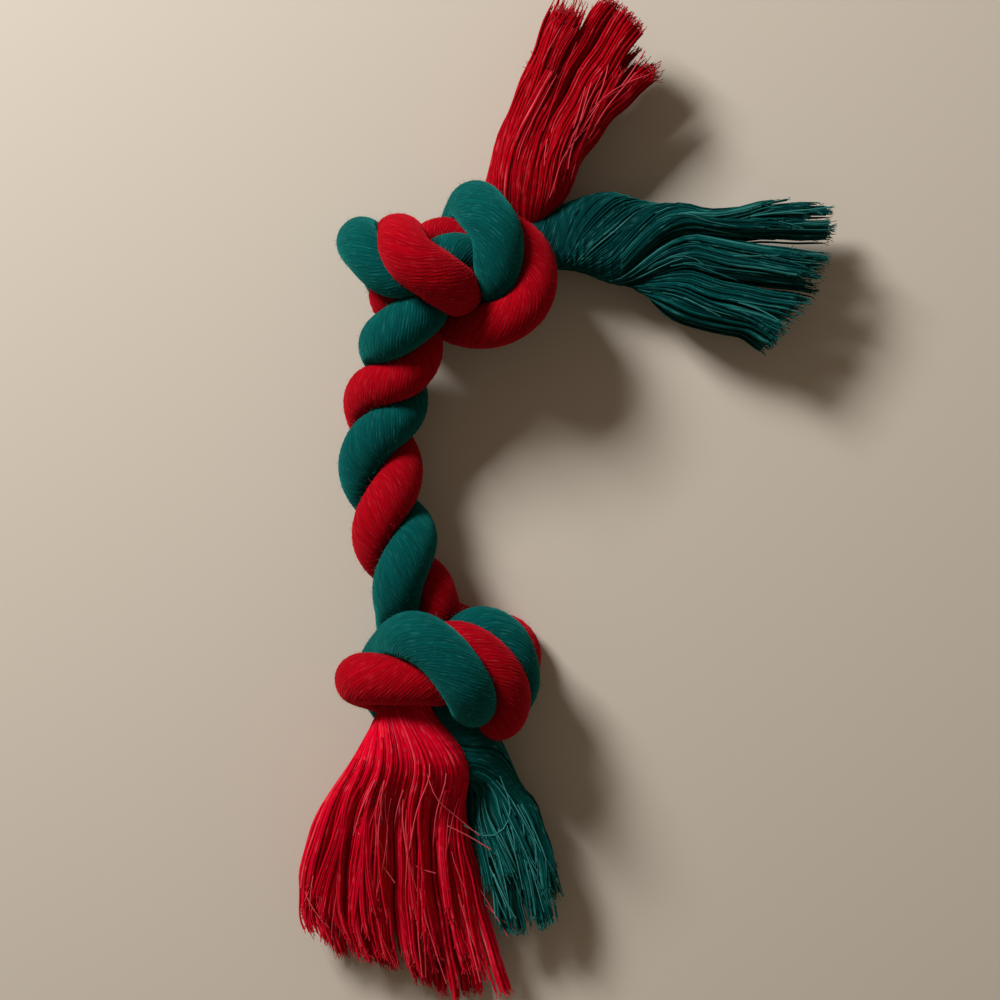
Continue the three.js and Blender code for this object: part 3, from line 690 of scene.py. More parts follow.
def cotton_group():
    """Colour and height of cotton yarn."""
    group = bpy.data.node_groups.new("Cotton yarn", "ShaderNodeTree")
    sockets = [
        ("Yarn", "INPUT", "Float"),
        ("Across", "INPUT", "Float"),
        ("Along", "INPUT", "Float"),
        ("Painted Shade", "INPUT", "Float"),
        ("Yarn Contrast", "INPUT", "Float"),
        ("Fibre Contrast", "INPUT", "Float"),
        ("Fibre Length", "INPUT", "Float"),
        ("Light Yarns", "INPUT", "Float"),
        ("Paleness", "INPUT", "Float"),
        ("Lit", "INPUT", "Color"),
        ("Deep", "INPUT", "Color"),
        ("Pale", "INPUT", "Color"),
        ("Colour", "OUTPUT", "Color"),
        ("Height", "OUTPUT", "Float"),
    ]
    for label, way, kind in sockets:
        group.interface.new_socket(label, in_out=way, socket_type=f"NodeSocket{kind}")
    put_in = group.nodes.new("NodeGroupInput").outputs
    number = add(group, "ShaderNodeTexWhiteNoise", {"noise_dimensions": "1D"}, {"W": put_in["Yarn"]})
    stretch = times(group, put_in["Along"], SLOW_NOISE_RATE)
    slow = noise_at(group, times(group, put_in["Yarn"], SLOW_NOISE_STEP), stretch, SOFT_DETAIL)
    own_fibres = times(group, put_in["Yarn"], FIBRE_NOISE_STEP)
    fibre_across = plus(group, times(group, put_in["Across"], FIBRES_ACROSS), own_fibres)
    fibre_along = maths(group, "DIVIDE", put_in["Along"], put_in["Fibre Length"])
    fibres = noise_at(group, fibre_across, fibre_along, FIBRE_DETAIL)
    ply_turn = plus(group, put_in["Across"], maths(group, "DIVIDE", put_in["Along"], PLY_LENGTH))
    ply = maths(group, "SINE", times(group, ply_turn, 2 * math.pi))
    tone = times(group, number.outputs[0], put_in["Yarn Contrast"])
    tone = plus(group, tone, times(group, slow, SLOW_CONTRAST))
    tone = plus(group, tone, times(group, fibres, put_in["Fibre Contrast"]))
    # Painted shade: where the yarn lies in a groove or deep in a tassel, its colour is mixed down towards
    # Deep.
    unshaded_share = minus(group, 1.0, put_in["Painted Shade"])
    amount = times(group, plus(group, tone, LEAST_TONE), unshaded_share)
    body = mixed(group, amount, put_in["Deep"], put_in["Lit"])
    stray = maths(group, "MAXIMUM", minus(group, fibres, STRAY_LEVEL), 0.0)
    stray = times(group, times(group, stray, put_in["Fibre Contrast"]), STRAY_CONTRAST)
    stray = times(group, stray, unshaded_share)
    dark_share = minus(group, 1.0, put_in["Light Yarns"])
    light_yarn = maths(group, "GREATER_THAN", number.outputs[0], dark_share)
    light_stretch = times(group, minus(group, slow, LIGHT_LEVEL), LIGHT_CONTRAST)
    light_yarn = times(group, times(group, light_yarn, unshaded_share), light_stretch)
    stray = maths(group, "MAXIMUM", maths(group, "MAXIMUM", stray, light_yarn), put_in["Paleness"])
    topped = mixed(group, stray, body, put_in["Pale"])
    height = plus(group, fibres, times(group, ply, PLY_HEIGHT))
    add(group, "NodeGroupOutput", links={"Colour": topped, "Height": height})
    return group


cotton = cotton_group()
print("group:", cotton.name, "with", len(cotton.nodes), "nodes")

# %% [markdown]
# ## Colours and materials
# Every finish has a lit, a deep and a pale shade, and painted shade takes the colour towards the
# deep one. Each tassel has its own, with painted light and shade in it: the green tassels are painted
# darker than their strands' yarn, and the lower red tassel is painted lighter than the red yarn. The
# strands' yarns are told apart by the map on their skin, and loose yarns by the numbers that their
# meshes keep.

# %% The colours of the yarns
FULL_VALUE = 255
STRAIGHT_BELOW = 0.04045
STRAIGHT_SCALE = 12.92
CURVE_OFFSET = 0.055
CURVE_SCALE = 1.055
CURVE_POWER = 2.4


def colour(*values):
    """A red, green and blue as a picture shows them (0 to 255), as linear light."""
    linear = []
    for part in (value / FULL_VALUE for value in values):
        if part <= STRAIGHT_BELOW:
            linear.append(part / STRAIGHT_SCALE)
        else:
            linear.append(((part + CURVE_OFFSET) / CURVE_SCALE) ** CURVE_POWER)
    return (*linear, 1.0)


YARN_COLOURS = {
    "red": {"Lit": colour(160, 0, 16), "Deep": colour(66, 0, 5), "Pale": colour(232, 92, 104)},
    "green": {"Lit": colour(0, 72, 70), "Deep": colour(0, 22, 23), "Pale": colour(84, 168, 162)},
}
# Painted light and shade: the green tassels' colours are darker than the green yarn's, and the lower red
# tassel's lighter than the red yarn's.
TASSEL_COLOURS_PAINTED_LIGHT_AND_SHADE = {
    "red_upper": YARN_COLOURS["red"],
    "green_upper": {"Lit": colour(0, 50, 50), "Deep": colour(0, 14, 15), "Pale": colour(70, 146, 140)},
    "red_lower": {"Lit": colour(206, 0, 36), "Deep": colour(112, 0, 14), "Pale": colour(244, 112, 122)},
    "green_lower": {"Lit": colour(0, 62, 60), "Deep": colour(0, 18, 19), "Pale": colour(84, 168, 162)},
}
FUZZ_COLOURS = {
    "red": {"Lit": colour(186, 22, 36), "Deep": colour(130, 4, 14), "Pale": colour(226, 100, 108)},
    "green": {"Lit": colour(16, 100, 96), "Deep": colour(4, 60, 58), "Pale": colour(90, 160, 156)},
}
SHEEN_COLOURS = {"red": colour(255, 50, 66), "green": colour(44, 170, 160)}

# %% The materials of strands, tassels and fuzz
STRAND_CONTRAST = 0.15
STRAND_FIBRE_CONTRAST = 0.25
STRAND_FIBRE_LENGTH = 1.2
LOOSE_CONTRAST = 0.4
LOOSE_FIBRE_CONTRAST = 0.5
LOOSE_FIBRE_LENGTH = 3.0
LOOSE_LIGHT_YARNS = 0.08
YARN_SHEEN = 0.45
SHEEN_ROUGHNESS = 0.5
YARN_ROUGHNESS = 0.92
YARN_SHINE = 0.03
YARN_BUMP = 0.5
BUMP_DISTANCE = 0.0001
# The groove and depth values below paint shade into the grooves between a strand's yarns and between the
# yarns inside a tassel.
GROOVE_PAINTED_SHADE = 0.25
GROOVE_SHARPNESS = 3.0
DEPTH_PAINTED_SHADE = 0.8


def cotton_shader(name, strand, values):
    """A matt cotton material without its pattern: its tree, its shader and its cotton group."""
    material = bpy.data.materials.new(name)
    material.use_nodes = True
    tree = material.node_tree
    shader = tree.nodes["Principled BSDF"]
    plain = {
        "Roughness": YARN_ROUGHNESS,
        "Specular IOR Level": YARN_SHINE,
        "Sheen Weight": YARN_SHEEN,
        "Sheen Roughness": SHEEN_ROUGHNESS,
        "Sheen Tint": SHEEN_COLOURS[strand],
    }
    for label, value in plain.items():
        shader.inputs[label].default_value = value
    node = add(tree, "ShaderNodeGroup", {"node_tree": cotton}, values)
    tree.links.new(node.outputs["Colour"], shader.inputs["Base Color"])
    bump = add(tree, "ShaderNodeBump", links={
        "Strength": YARN_BUMP,
        "Distance": BUMP_DISTANCE,
        "Height": node.outputs["Height"],
    })
    tree.links.new(bump.outputs[0], shader.inputs["Normal"])
    return material, tree, node


def strand_cotton(strand, shades):
    """Cotton for a strand's skin, whose map counts its yarns."""
    material, tree, node = cotton_shader(f"{strand}_strand_cotton", strand, {
        **shades,
        "Yarn Contrast": STRAND_CONTRAST,
        "Fibre Contrast": STRAND_FIBRE_CONTRAST,
        "Fibre Length": STRAND_FIBRE_LENGTH,
    })
    place = add(tree, "ShaderNodeUVMap", {"uv_map": MAP_NAME})
    parts = add(tree, "ShaderNodeSeparateXYZ", links={"Vector": place.outputs[0]})
    across = maths(tree, "FRACT", parts.outputs["X"])
    edge = maths(tree, "ABSOLUTE", minus(tree, times(tree, across, 2.0), 1.0))
    # Painted shade: each yarn is darker towards its edges, down in the grooves between yarns.
    painted_groove_shade = times(tree, maths(tree, "POWER", edge, GROOVE_SHARPNESS), GROOVE_PAINTED_SHADE)
    tree.links.new(maths(tree, "FLOOR", parts.outputs["X"]), node.inputs["Yarn"])
    tree.links.new(across, node.inputs["Across"])
    tree.links.new(parts.outputs["Y"], node.inputs["Along"])
    tree.links.new(painted_groove_shade, node.inputs["Painted Shade"])
    return material


def loose_cotton(strand, use, shades):
    """Cotton for loose yarns, which keep their own number, run, painted shade (kept as depth) and
    paleness.
    """
    material, tree, node = cotton_shader(f"{strand}_{use}_cotton", strand, {
        **shades,
        "Yarn Contrast": LOOSE_CONTRAST,
        "Fibre Contrast": LOOSE_FIBRE_CONTRAST,
        "Fibre Length": LOOSE_FIBRE_LENGTH,
        "Light Yarns": LOOSE_LIGHT_YARNS,
    })
    kept = {
        label: add(tree, "ShaderNodeAttribute", {"attribute_name": label}).outputs["Fac"]
        for label in ("yarn", "run", "depth", "pale")
    }
    tree.links.new(kept["yarn"], node.inputs["Yarn"])
    tree.links.new(kept["run"], node.inputs["Along"])
    tree.links.new(kept["pale"], node.inputs["Paleness"])
    # Painted shade: the kept depth darkens a yarn that lies among the other yarns of its tassel.
    tree.links.new(times(tree, kept["depth"], DEPTH_PAINTED_SHADE), node.inputs["Painted Shade"])
    return material


strand_finish = {name: strand_cotton(name, YARN_COLOURS[name]) for name in skins}
tassel_finish = {
    name: loose_cotton(name.split("_")[0], f"{name.split('_')[1]}_tassel", shades)
    for name, shades in TASSEL_COLOURS_PAINTED_LIGHT_AND_SHADE.items()
}
fuzz_finish = {name: loose_cotton(name, "fuzz", FUZZ_COLOURS[name]) for name in skins}
print("materials:", [m.name for m in bpy.data.materials])

# %% [markdown]
# ## The two strands
# Each strand becomes one piece from tassel to tassel.

# %% Make the strands
RIDGE_DEPTH = 0.00005
RIDGE_SHAPE = 0.6
UNEVENNESS = 0.00014
UNEVEN_LENGTH = 0.009
RIDGE_SEEDS = {"red": 3, "green": 41}

strand_pieces = {}
for name, skin in skins.items():
    made = made_by(ridges, skin, f"{name}_strand", {
        "Yarns": YARNS_ROUND,
        "Ridge Depth": RIDGE_DEPTH,
        "Ridge Shape": RIDGE_SHAPE,
        "Unevenness": UNEVENNESS,
        "Uneven Length": UNEVEN_LENGTH,
        "Seed": RIDGE_SEEDS[name],
        "Material": strand_finish[name],
    })
    strand_pieces[name] = link_piece(f"{name}_strand", made)
    print(f"{name} strand: {len(made.polygons)} faces")

# %% [markdown]
# ## The strands in place
# The rope's joint sits half-way between the knots. Each strand's place is baked into its mesh, and
# the CAD parts that it stands for are hidden.

# %% Bake the strands in place and hide their CAD parts
STRAND_PARTS = ("knot_upper", "rope_upper", "rope_lower", "knot_lower")


def bend_with_rope(piece):
    """A piece with its place baked into its mesh."""
    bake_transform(piece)


for name, piece in strand_pieces.items():
    bend_with_rope(piece)
    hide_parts(*[f"{name}_{part}" for part in STRAND_PARTS])

# %% [markdown]
# ## The tassels
# Past each knot a strand comes apart into loose yarns. The tables follow the CAD part's sections of
# each tassel, from the knot outwards: how high the middle is, how thick it is, and its edges with
# the borders between the locks. Some are a little higher or wider here, where loose yarn bulges. The
# last two tables are single threads that lie across the lower tassels.

# %% The sections of the tassels
UPPER_RED_TASSEL_SHARES = [
    (0.82, 1.29, [(-0.31, 6.17), (1.3, 5.95)]),
    (0.9, 1.24, [(-0.06, 7.06), (0.85, 6.85), (1.62, 6.68)]),
    (1.0, 1.15, [(0.4, 8.21), (1.3, 7.9), (2.25, 7.45)]),
    (1.05, 1.05, [(0.82, 9.24), (1.85, 8.85), (2.85, 7.95)]),
    (1.1, 1.0, [(1.04, 9.77), (2.25, 9.45), (3.25, 8.3)]),
]
UPPER_GREEN_TASSEL_SHARES = [
    (0.73, 1.29, [(1.72, 5.99), (1.65, 4.47)]),
    (0.82, 1.2, [(2.75, 6.02), (2.91, 5.35), (2.87, 4.69), (2.64, 4.02)]),
    (0.95, 1.1, [(4.09, 5.7), (4.28, 5.12), (4.17, 4.28), (3.81, 3.42)]),
    (1.05, 1.0, [(5.23, 5.92), (5.35, 5.0), (5.15, 4.08), (4.6, 3.19)]),
    (1.1, 0.95, [(6.3, 6.02), (6.2, 4.92), (5.95, 3.95), (4.95, 2.92)]),
]
LOWER_RED_TASSEL_SHARES = [
    (1.4, 1.59, [(-2.82, -4.93), (-0.6, -5.03)]),
    (1.0, 1.47, [(-3.54, -6.01), (-2.79, -6.25), (-2.0, -6.37), (-1.32, -6.33), (-0.72, -6.17)]),
    (0.75, 1.25, [(-3.95, -7.13), (-2.99, -7.33), (-2.09, -7.44), (-1.3, -7.44), (-0.52, -7.29)]),
    (0.55, 1.0, [(-3.98, -7.95), (-2.97, -8.34), (-2.07, -8.54), (-1.11, -8.62), (-0.28, -8.5)]),
    (0.45, 0.85, [(-3.85, -8.36), (-2.77, -8.88), (-1.9, -9.31), (-0.95, -9.65), (0.02, -9.5)]),
]
LOWER_GREEN_TASSEL_SHARES = [
    (0.64, 1.12, [(-0.62, -5.74), (0.46, -5.66)]),
    (0.7, 1.1, [(-0.65, -6.15), (0.2, -6.11), (0.67, -5.99)]),
    (0.75, 1.0, [(-0.45, -7.12), (0.38, -7.09), (1.02, -6.97)]),
    (0.7, 0.9, [(-0.3, -8.12), (0.58, -8.16), (1.24, -7.8)]),
]
LOWER_RED_THREAD_SHARES = [
    [(-1.4, -5.2, 2.2), (-1.21, -5.7, 2.1), (-0.78, -6.15, 1.75), (-0.4, -6.5, 1.5)],
    [(-1.01, -6.27, 1.78), (-0.6, -6.5, 1.6), (-0.19, -6.77, 1.45)],
    [(-2.74, -6.42, 1.65), (-2.45, -6.8, 1.6), (-2.04, -7.43, 1.4)],
    [(-1.77, -7.0, 1.5), (-1.5, -7.15, 1.52), (-1.25, -7.24, 1.42)],
    [(-0.45, -7.5, 1.1), (-0.1, -8.1, 1.05), (0.15, -8.55, 0.95)],
    [(-0.4, -7.8, 1.0), (0.0, -8.2, 1.0), (0.3, -8.4, 0.9)],
]
LOWER_GREEN_THREAD_SHARES = [
    [(0.0, -5.35, 1.45), (0.2, -5.97, 1.35), (0.1, -6.35, 1.35), (-0.23, -6.54, 1.35), (-0.7, -6.3, 1.5)],
    [(0.05, -6.2, 1.3), (0.3, -6.9, 1.32), (0.45, -7.6, 1.15)],
    [(0.45, -6.3, 1.25), (0.55, -7.0, 1.32), (0.9, -7.7, 1.1)],
]

# %% [markdown]
# ## From a few sections to many stations
# A smooth curve through the sections gives the borders of the locks at small steps along a tassel.
# Two sections more lead in from the middle of the strand, and one leads on past the cut ends.

# %% Follow the sections of a tassel
YARN_STEP = 0.0018
INSIDE_END = 0.004
ROOT_SHARES = (1.12, 0.98)
ROOT_POINTS = 4
OVERHANG_SHARE = 0.35


def tassel_sections(name, at_start, row_shares):
    """The lock borders and the half height of a tassel, station by station, from its strand out."""
    line = limit_lines[name] if at_start else limit_lines[name][::-1]
    outward = unit(line[0] - line[ROOT_POINTS])
    locks = len(row_shares[1][2]) - 1
    rows = []
    for height, thick, edges in row_shares:
        places = placed([(x, y, height) for x, y in edges])
        borders = sampled(places, np.linspace(0, 1, len(places)), np.linspace(0, 1, locks + 1))
        rows.append(np.concatenate((borders.ravel(), (0, 0, thick * STRAND_DIAMETER / 2))))
    across = rows[0][3 * locks:3 * locks + 3] - rows[0][:3]
    side = unit(across - outward * np.dot(across, outward))
    upright = np.cross(side, outward)
    upright *= np.sign(upright[2])
    for middle, share in zip((line[0], line[0] - outward * INSIDE_END), ROOT_SHARES):
        reach = share * STRAND_DIAMETER / 2
        borders = middle + np.outer(np.linspace(-reach, reach, locks + 1), side)
        rows.insert(0, np.concatenate((borders.ravel(), upright * reach)))
    rows.append(rows[-1] + (rows[-1] - rows[-2]) * OVERHANG_SHARE)
    rows = np.array(rows)
    spans = len(rows) - 1
    shares = np.linspace(0, 1, FINE_POINTS_PER_SPAN * spans + 1)
    fine = np.array([on_curve(rows, share) for share in shares])
    along = lengths_along(fine[:, :-3].reshape(len(fine), -1, 3).mean(axis=1))
    places = np.arange(0, along[-1], YARN_STEP)
    stations = sampled(fine, along, places)
    return {
        "locks": locks,
        "borders": stations[:, :-3].reshape(len(stations), -1, 3),
        "half_height": stations[:, -3:],
        "along": places,
        "root": along[len(ROOT_SHARES) * FINE_POINTS_PER_SPAN],
        "length": along[FINE_POINTS_PER_SPAN * (spans - 1)],
        "outward": outward,
        "end": line[0],
    }


def smooth_step(values, low, high):
    """0 below low, 1 above high, and a smooth rise between."""
    at = np.clip((values - low) / (high - low), 0, 1)
    return at * at * (3 - 2 * at)


# %% [markdown]
# ## A place that stays the same along a tassel
# Every yarn keeps its own place in the sections, so the yarns fill the tassel's shape. Near the
# knot the place is one in the whole tassel, which still has some of the strand's twist. Further out
# the tassel splits, and the place is one in a lock.

# %% Find a place in the sections
FULLNESS = 2.5
ROOT_STATION = 2
SPLIT_START = 0.004
SPLIT_LENGTH = 0.018
GAP_FULL = 0.9
BELOW_ONE = 0.9999
THINNEST_SHARE = 0.05


def yarn_place(across, high, locks):
    """Which lock a place in the whole section is in, and where it is in that lock."""
    whole = min(max((across + 1) / 2, 0), BELOW_ONE) * locks
    rise = high / max(math.sqrt(max(1 - across * across, 0)), THINNEST_SHARE)
    return int(whole), 2 * (whole % 1) - 1, min(max(rise, -1), 1)


def split_share(sections):
    """How far the tassel has split into its locks, at every station."""
    start = sections["root"]
    return smooth_step(sections["along"], start + SPLIT_START, start + SPLIT_LENGTH)


def section_points(sections, plan, lock, across, high):
    """Where a place in a lock is at every station, turned with the twist that is left there."""
    borders, half_height, locks = sections["borders"], sections["half_height"], sections["locks"]
    along = sections["along"] - INSIDE_END
    whole_across = (lock + (across + 1) / 2) / locks * 2 - 1
    whole_high = high * np.sqrt(np.maximum(1 - whole_across**2, 0))
    start = borders[ROOT_STATION]
    upright = np.cross(sections["outward"], half_height[ROOT_STATION])
    hand = np.sign(np.dot(start[-1] - start[0], upright))
    rate, untwist = 2 * math.pi / plan["pitch"], plan["untwist"]
    left = rate * np.where(along > 0, untwist * np.exp(-along / untwist), untwist - along)
    lean = np.arctan2(hand * whole_across, whole_high) + left
    depth = np.hypot(whole_across, whole_high)
    side, rise = hand * np.sin(lean), np.cos(lean)
    swell = depth / (np.abs(side) ** FULLNESS + np.abs(rise) ** FULLNESS) ** (1 / FULLNESS)
    middle = (borders[:, 0] + borders[:, -1]) / 2
    half = (borders[:, -1] - borders[:, 0]) / 2
    whole = middle + half * (side * swell)[:, None] + half_height * (rise * swell)[:, None]
    low, top = borders[:, lock], borders[:, lock + 1]
    across, high = np.broadcast_to(across, len(along)), np.broadcast_to(high, len(along))
    tall = (1 - np.abs(across) ** FULLNESS) ** (1 / FULLNESS)
    share = sections["along"] / sections["length"]
    inward = 1 - plan["gap"] * smooth_step(share, plan["gap_from"], GAP_FULL)
    sideways = (top - low) * ((across * inward + 1) / 2)[:, None]
    parted = low + sideways + half_height * (high * tall)[:, None]
    split = split_share(sections)[:, None]
    return whole * (1 - split) + parted * split


# %% [markdown]
# ## One yarn, and its cut end
# A yarn crimps a little, is drawn to the tuft that it is in, sways with that tuft and ends where it
# was cut, in a few short fibres. Each yarn is a line with a thickness, a painted shade and a paleness.

# %% Lay one yarn
FREE_SHARES = (0.2, 0.6)
CRIMP_PHASE = 2.4
CRIMP_CHANCE = 0.5
RISE_SHARE = 0.6
SWAY_FROM = 0.25
SWAY_SHAPE = 1.4
RADIUS_SHARES = (0.8, 1.2)
TUFT_CUT_SHARE = 0.6
YARN_CUT_SHARE = 0.4
TIP_TAPER = 0.0016
TIP_SHARE = 0.35
# Painted shade that a yarn adds to its tuft's, at most.
YARN_PAINTED_SHADE = 0.12
FIBRES_PER_END = 2
FIBRE_LENGTH = 0.0012
FIBRE_LENGTH_SHARES = (0.4, 1.2)
FIBRE_SPAN_SHARES = (-0.2, 1.0)
FIBRE_RADIUS = 0.00005
FIBRE_SPREAD = 0.35
FIBRE_PALENESS = 0.12


def yarn_line(sections, plan, dice, place, tuft):
    """One yarn of a tassel, with its crimp and its cut end, drawn to the tuft that it is in."""
    lock, across, high = place
    along = sections["along"]
    share = along / sections["length"]
    pull = plan["gather"] * smooth_step(share, plan["gather_from"], 1)
    across = np.clip(across + (tuft["place"][0] - across) * pull, -1, 1)
    high = np.clip(high + (tuft["place"][1] - high) * pull, -1, 1)
    points = section_points(sections, plan, lock, across, high)
    ahead = unit(np.gradient(points, axis=0))
    side = unit(np.cross(ahead, (0, 0, 1)))
    free = smooth_step(share, *FREE_SHARES)
    apart = np.clip((share - SWAY_FROM) / (1 - SWAY_FROM), 0, None) ** SWAY_SHAPE
    phase = CRIMP_PHASE * (lock + across) + dice.uniform(-CRIMP_CHANCE, CRIMP_CHANCE)
    turn = 2 * math.pi * along / plan["crimp_length"] + phase
    aside = plan["crimp"] * np.sin(turn) * free + dice.normal() * plan["drift"] * free**2
    points = points + side * (aside + tuft["sway"][0] * apart)[:, None]
    rise = plan["crimp"] * RISE_SHARE * np.cos(turn) * free + dice.normal() * plan["drift"] * free**2
    points[:, 2] += rise + RISE_SHARE * tuft["sway"][1] * apart
    radius = plan["radius"] * dice.uniform(*RADIUS_SHARES)
    cut = TUFT_CUT_SHARE * tuft["cut"] + YARN_CUT_SHARE * dice.uniform(-1, 1)
    end = sections["length"] * (1 + plan["ragged"] * cut)
    keep = along < end
    radii = radius * np.clip((end - along[keep]) / TIP_TAPER, TIP_SHARE, 1)
    # The yarn's shade is painted shade: its tuft's and a little of its own.
    return points[keep], radii, tuft["shade"] + dice.uniform(0, YARN_PAINTED_SHADE), 0.0


def cut_fibres(dice, yarn):
    """Short thin fibres that spread from the cut end of a yarn."""
    points, _, shade, _ = yarn
    ahead = unit(points[-1] - points[-2])
    made = []
    for _ in range(FIBRES_PER_END):
        way = unit(ahead + dice.normal(0, FIBRE_SPREAD, 3))
        way = way * FIBRE_LENGTH * dice.uniform(*FIBRE_LENGTH_SHARES)
        line = points[-1] + np.outer(FIBRE_SPAN_SHARES, way)
        made.append((line, np.full(len(line), FIBRE_RADIUS), shade, FIBRE_PALENESS))
    return made


# %% [markdown]
# ## Under the yarns
# Thick lines fill the middle of each lock, so that nobody sees through it. Painted shade makes them dark.

# %% Lay the cores
CORE_SHARE = 0.72
CORE_END_SHARE = 0.8
CORE_TAPER_SHARE = 0.4
# Painted shade of the cores inside each lock.
CORE_PAINTED_SHADE = 0.7
LEAST_RADIUS = 0.00003


def core_line(sections, plan, lock, across):
    """A thick line in the middle of a lock, which keeps the lock from being seen through."""
    points = section_points(sections, plan, lock, across, 0.0)
    borders = sections["borders"]
    tall = np.linalg.norm(sections["half_height"], axis=1)
    whole_across = (lock + (across + 1) / 2) / sections["locks"] * 2 - 1
    whole_half = np.linalg.norm(borders[:, -1] - borders[:, 0], axis=1) / 2
    lock_half = np.linalg.norm(borders[:, lock + 1] - borders[:, lock], axis=1) / 2
    whole_room = core_room(tall, whole_half, whole_across)
    split = split_share(sections)
    room = whole_room * (1 - split) + core_room(tall, lock_half, across) * split
    along = sections["along"]
    end = sections["length"] * CORE_END_SHARE
    radii = room * CORE_SHARE * np.sqrt(np.clip((end - along) / (CORE_TAPER_SHARE * end), 0, 1))
    keep = (along < end) & (radii > LEAST_RADIUS)
    # The cores carry a fixed painted shade.
    return points[keep], radii[keep], CORE_PAINTED_SHADE, 0.0


def core_room(tall, half, across):
    """How thick a core can be at a place across a section."""
    return np.minimum(tall * math.sqrt(1 - across**2), half * (1 - abs(across)))


# %% [markdown]
# ## Over the yarns
# Tufts that came loose lie over the yarns at an angle, and so do thin pale threads.

# %% Lay loose tufts and threads
# Painted shade of a tuft, at most.
TUFT_PAINTED_SHADE = 0.3
OVER_YARNS = 12
OVER_PLACE = 0.9
OVER_TURN = 1.0
OVER_LIFT = 0.0009
OVER_LIFT_SHARES = (0.3, 1)
OVER_SPREAD = 0.1
OVER_RAGGED = 0.05
OVER_TIP_SHARE = 0.3
OVER_THICKENING = 3
OVER_START_SHARES = (0.1, 0.5)
OVER_END_SHARES = (0.72, 1.0)
TURN_SHAPE = 1.5
STRAY_PLACE = 0.8
STRAY_START_SHARES = (0.25, 0.8)
STRAY_END_SHARE = 1.02
STRAY_LENGTH = 0.016
STRAY_LENGTH_SHARES = (0.5, 1.2)
STRAY_LIFT = 0.0007
STRAY_LEAST_LIFT = 0.6
STRAY_LIFT_SHARES = (0.4, 1.2)
STRAY_RADIUS = 0.00009
STRAY_RADIUS_SHARES = (0.7, 1.3)
STRAY_PALENESS = 0.55
STRAY_PALENESS_SHARES = (0.2, 1)


def tuft_over(sections, plan, dice):
    """A few yarns that came loose together and lie over the tassel at an angle."""
    lock = int(dice.integers(sections["locks"]))
    across, turn = dice.uniform(-OVER_PLACE, OVER_PLACE), dice.uniform(-OVER_TURN, OVER_TURN)
    start = dice.uniform(*OVER_START_SHARES) * sections["length"]
    end = dice.uniform(*OVER_END_SHARES) * sections["length"]
    # Each loose tuft also gets its own painted shade.
    lift, shade = dice.uniform(*OVER_LIFT_SHARES) * OVER_LIFT, dice.uniform(0, TUFT_PAINTED_SHADE)
    along = sections["along"]
    share = np.clip((along - start) / (end - start), 0, None)
    made = []
    for _ in range(OVER_YARNS):
        wander = across + dice.normal() * OVER_SPREAD + turn * share**TURN_SHAPE
        points = section_points(sections, plan, lock, np.clip(wander, -1, 1), 1.0)
        rise = lift * np.sin(math.pi / 2 * np.minimum(share, 1))
        points[:, 2] += rise + dice.normal() * plan["radius"]
        keep = (along > start) & (along < end * (1 + OVER_RAGGED * dice.uniform(-1, 1)))
        radii = plan["radius"] * np.clip(OVER_TIP_SHARE + OVER_THICKENING * share[keep], 0, 1)
        made.append((points[keep], radii, shade + dice.uniform(0, YARN_PAINTED_SHADE), 0.0))
        made += cut_fibres(dice, made[-1])
    return made


def stray_line(sections, plan, dice):
    """A thin loose thread that lies over a tassel at an angle to its yarns."""
    lock = int(dice.integers(sections["locks"]))
    across, turn = dice.uniform(-STRAY_PLACE, STRAY_PLACE), dice.uniform(-1, 1)
    along, full = sections["along"], sections["length"]
    start = dice.uniform(*STRAY_START_SHARES) * full
    length = STRAY_LENGTH * dice.uniform(*STRAY_LENGTH_SHARES)
    share = np.clip((along - start) / length, 0, 1)
    wander = np.clip(across + turn * share**TURN_SHAPE, -1, 1)
    points = section_points(sections, plan, lock, wander, 1.0)
    lift = STRAY_LIFT * (STRAY_LEAST_LIFT + np.sin(math.pi * share))
    points[:, 2] += lift * dice.uniform(*STRAY_LIFT_SHARES)
    keep = (along > start) & (along < min(start + length, full * STRAY_END_SHARE))
    radii = np.full(keep.sum(), STRAY_RADIUS * dice.uniform(*STRAY_RADIUS_SHARES))
    return points[keep], radii, 0.0, STRAY_PALENESS * dice.uniform(*STRAY_PALENESS_SHARES)


# %% [markdown]
# ## All the lines of a tassel
# The places are spread over the section by the golden share, most of them near its skin and more on
# top than below. Every lock is parted into tufts, with a place, a sway, a cut and a painted shade of
# their own. A plan says how many yarns and tufts a tassel has, how far its yarns crimp, drift, sway
# and gather, and how ragged its end is.

# %% Plan the tassels
GOLDEN_SHARE = 0.618034
WIDTH_SHARE = 0.97
SHELL_SHARE = 0.7
TOP_SHARE = 0.6
TUFT_PLACE = 0.9
CORE_PLACES = (-0.5, 0.0, 0.5)


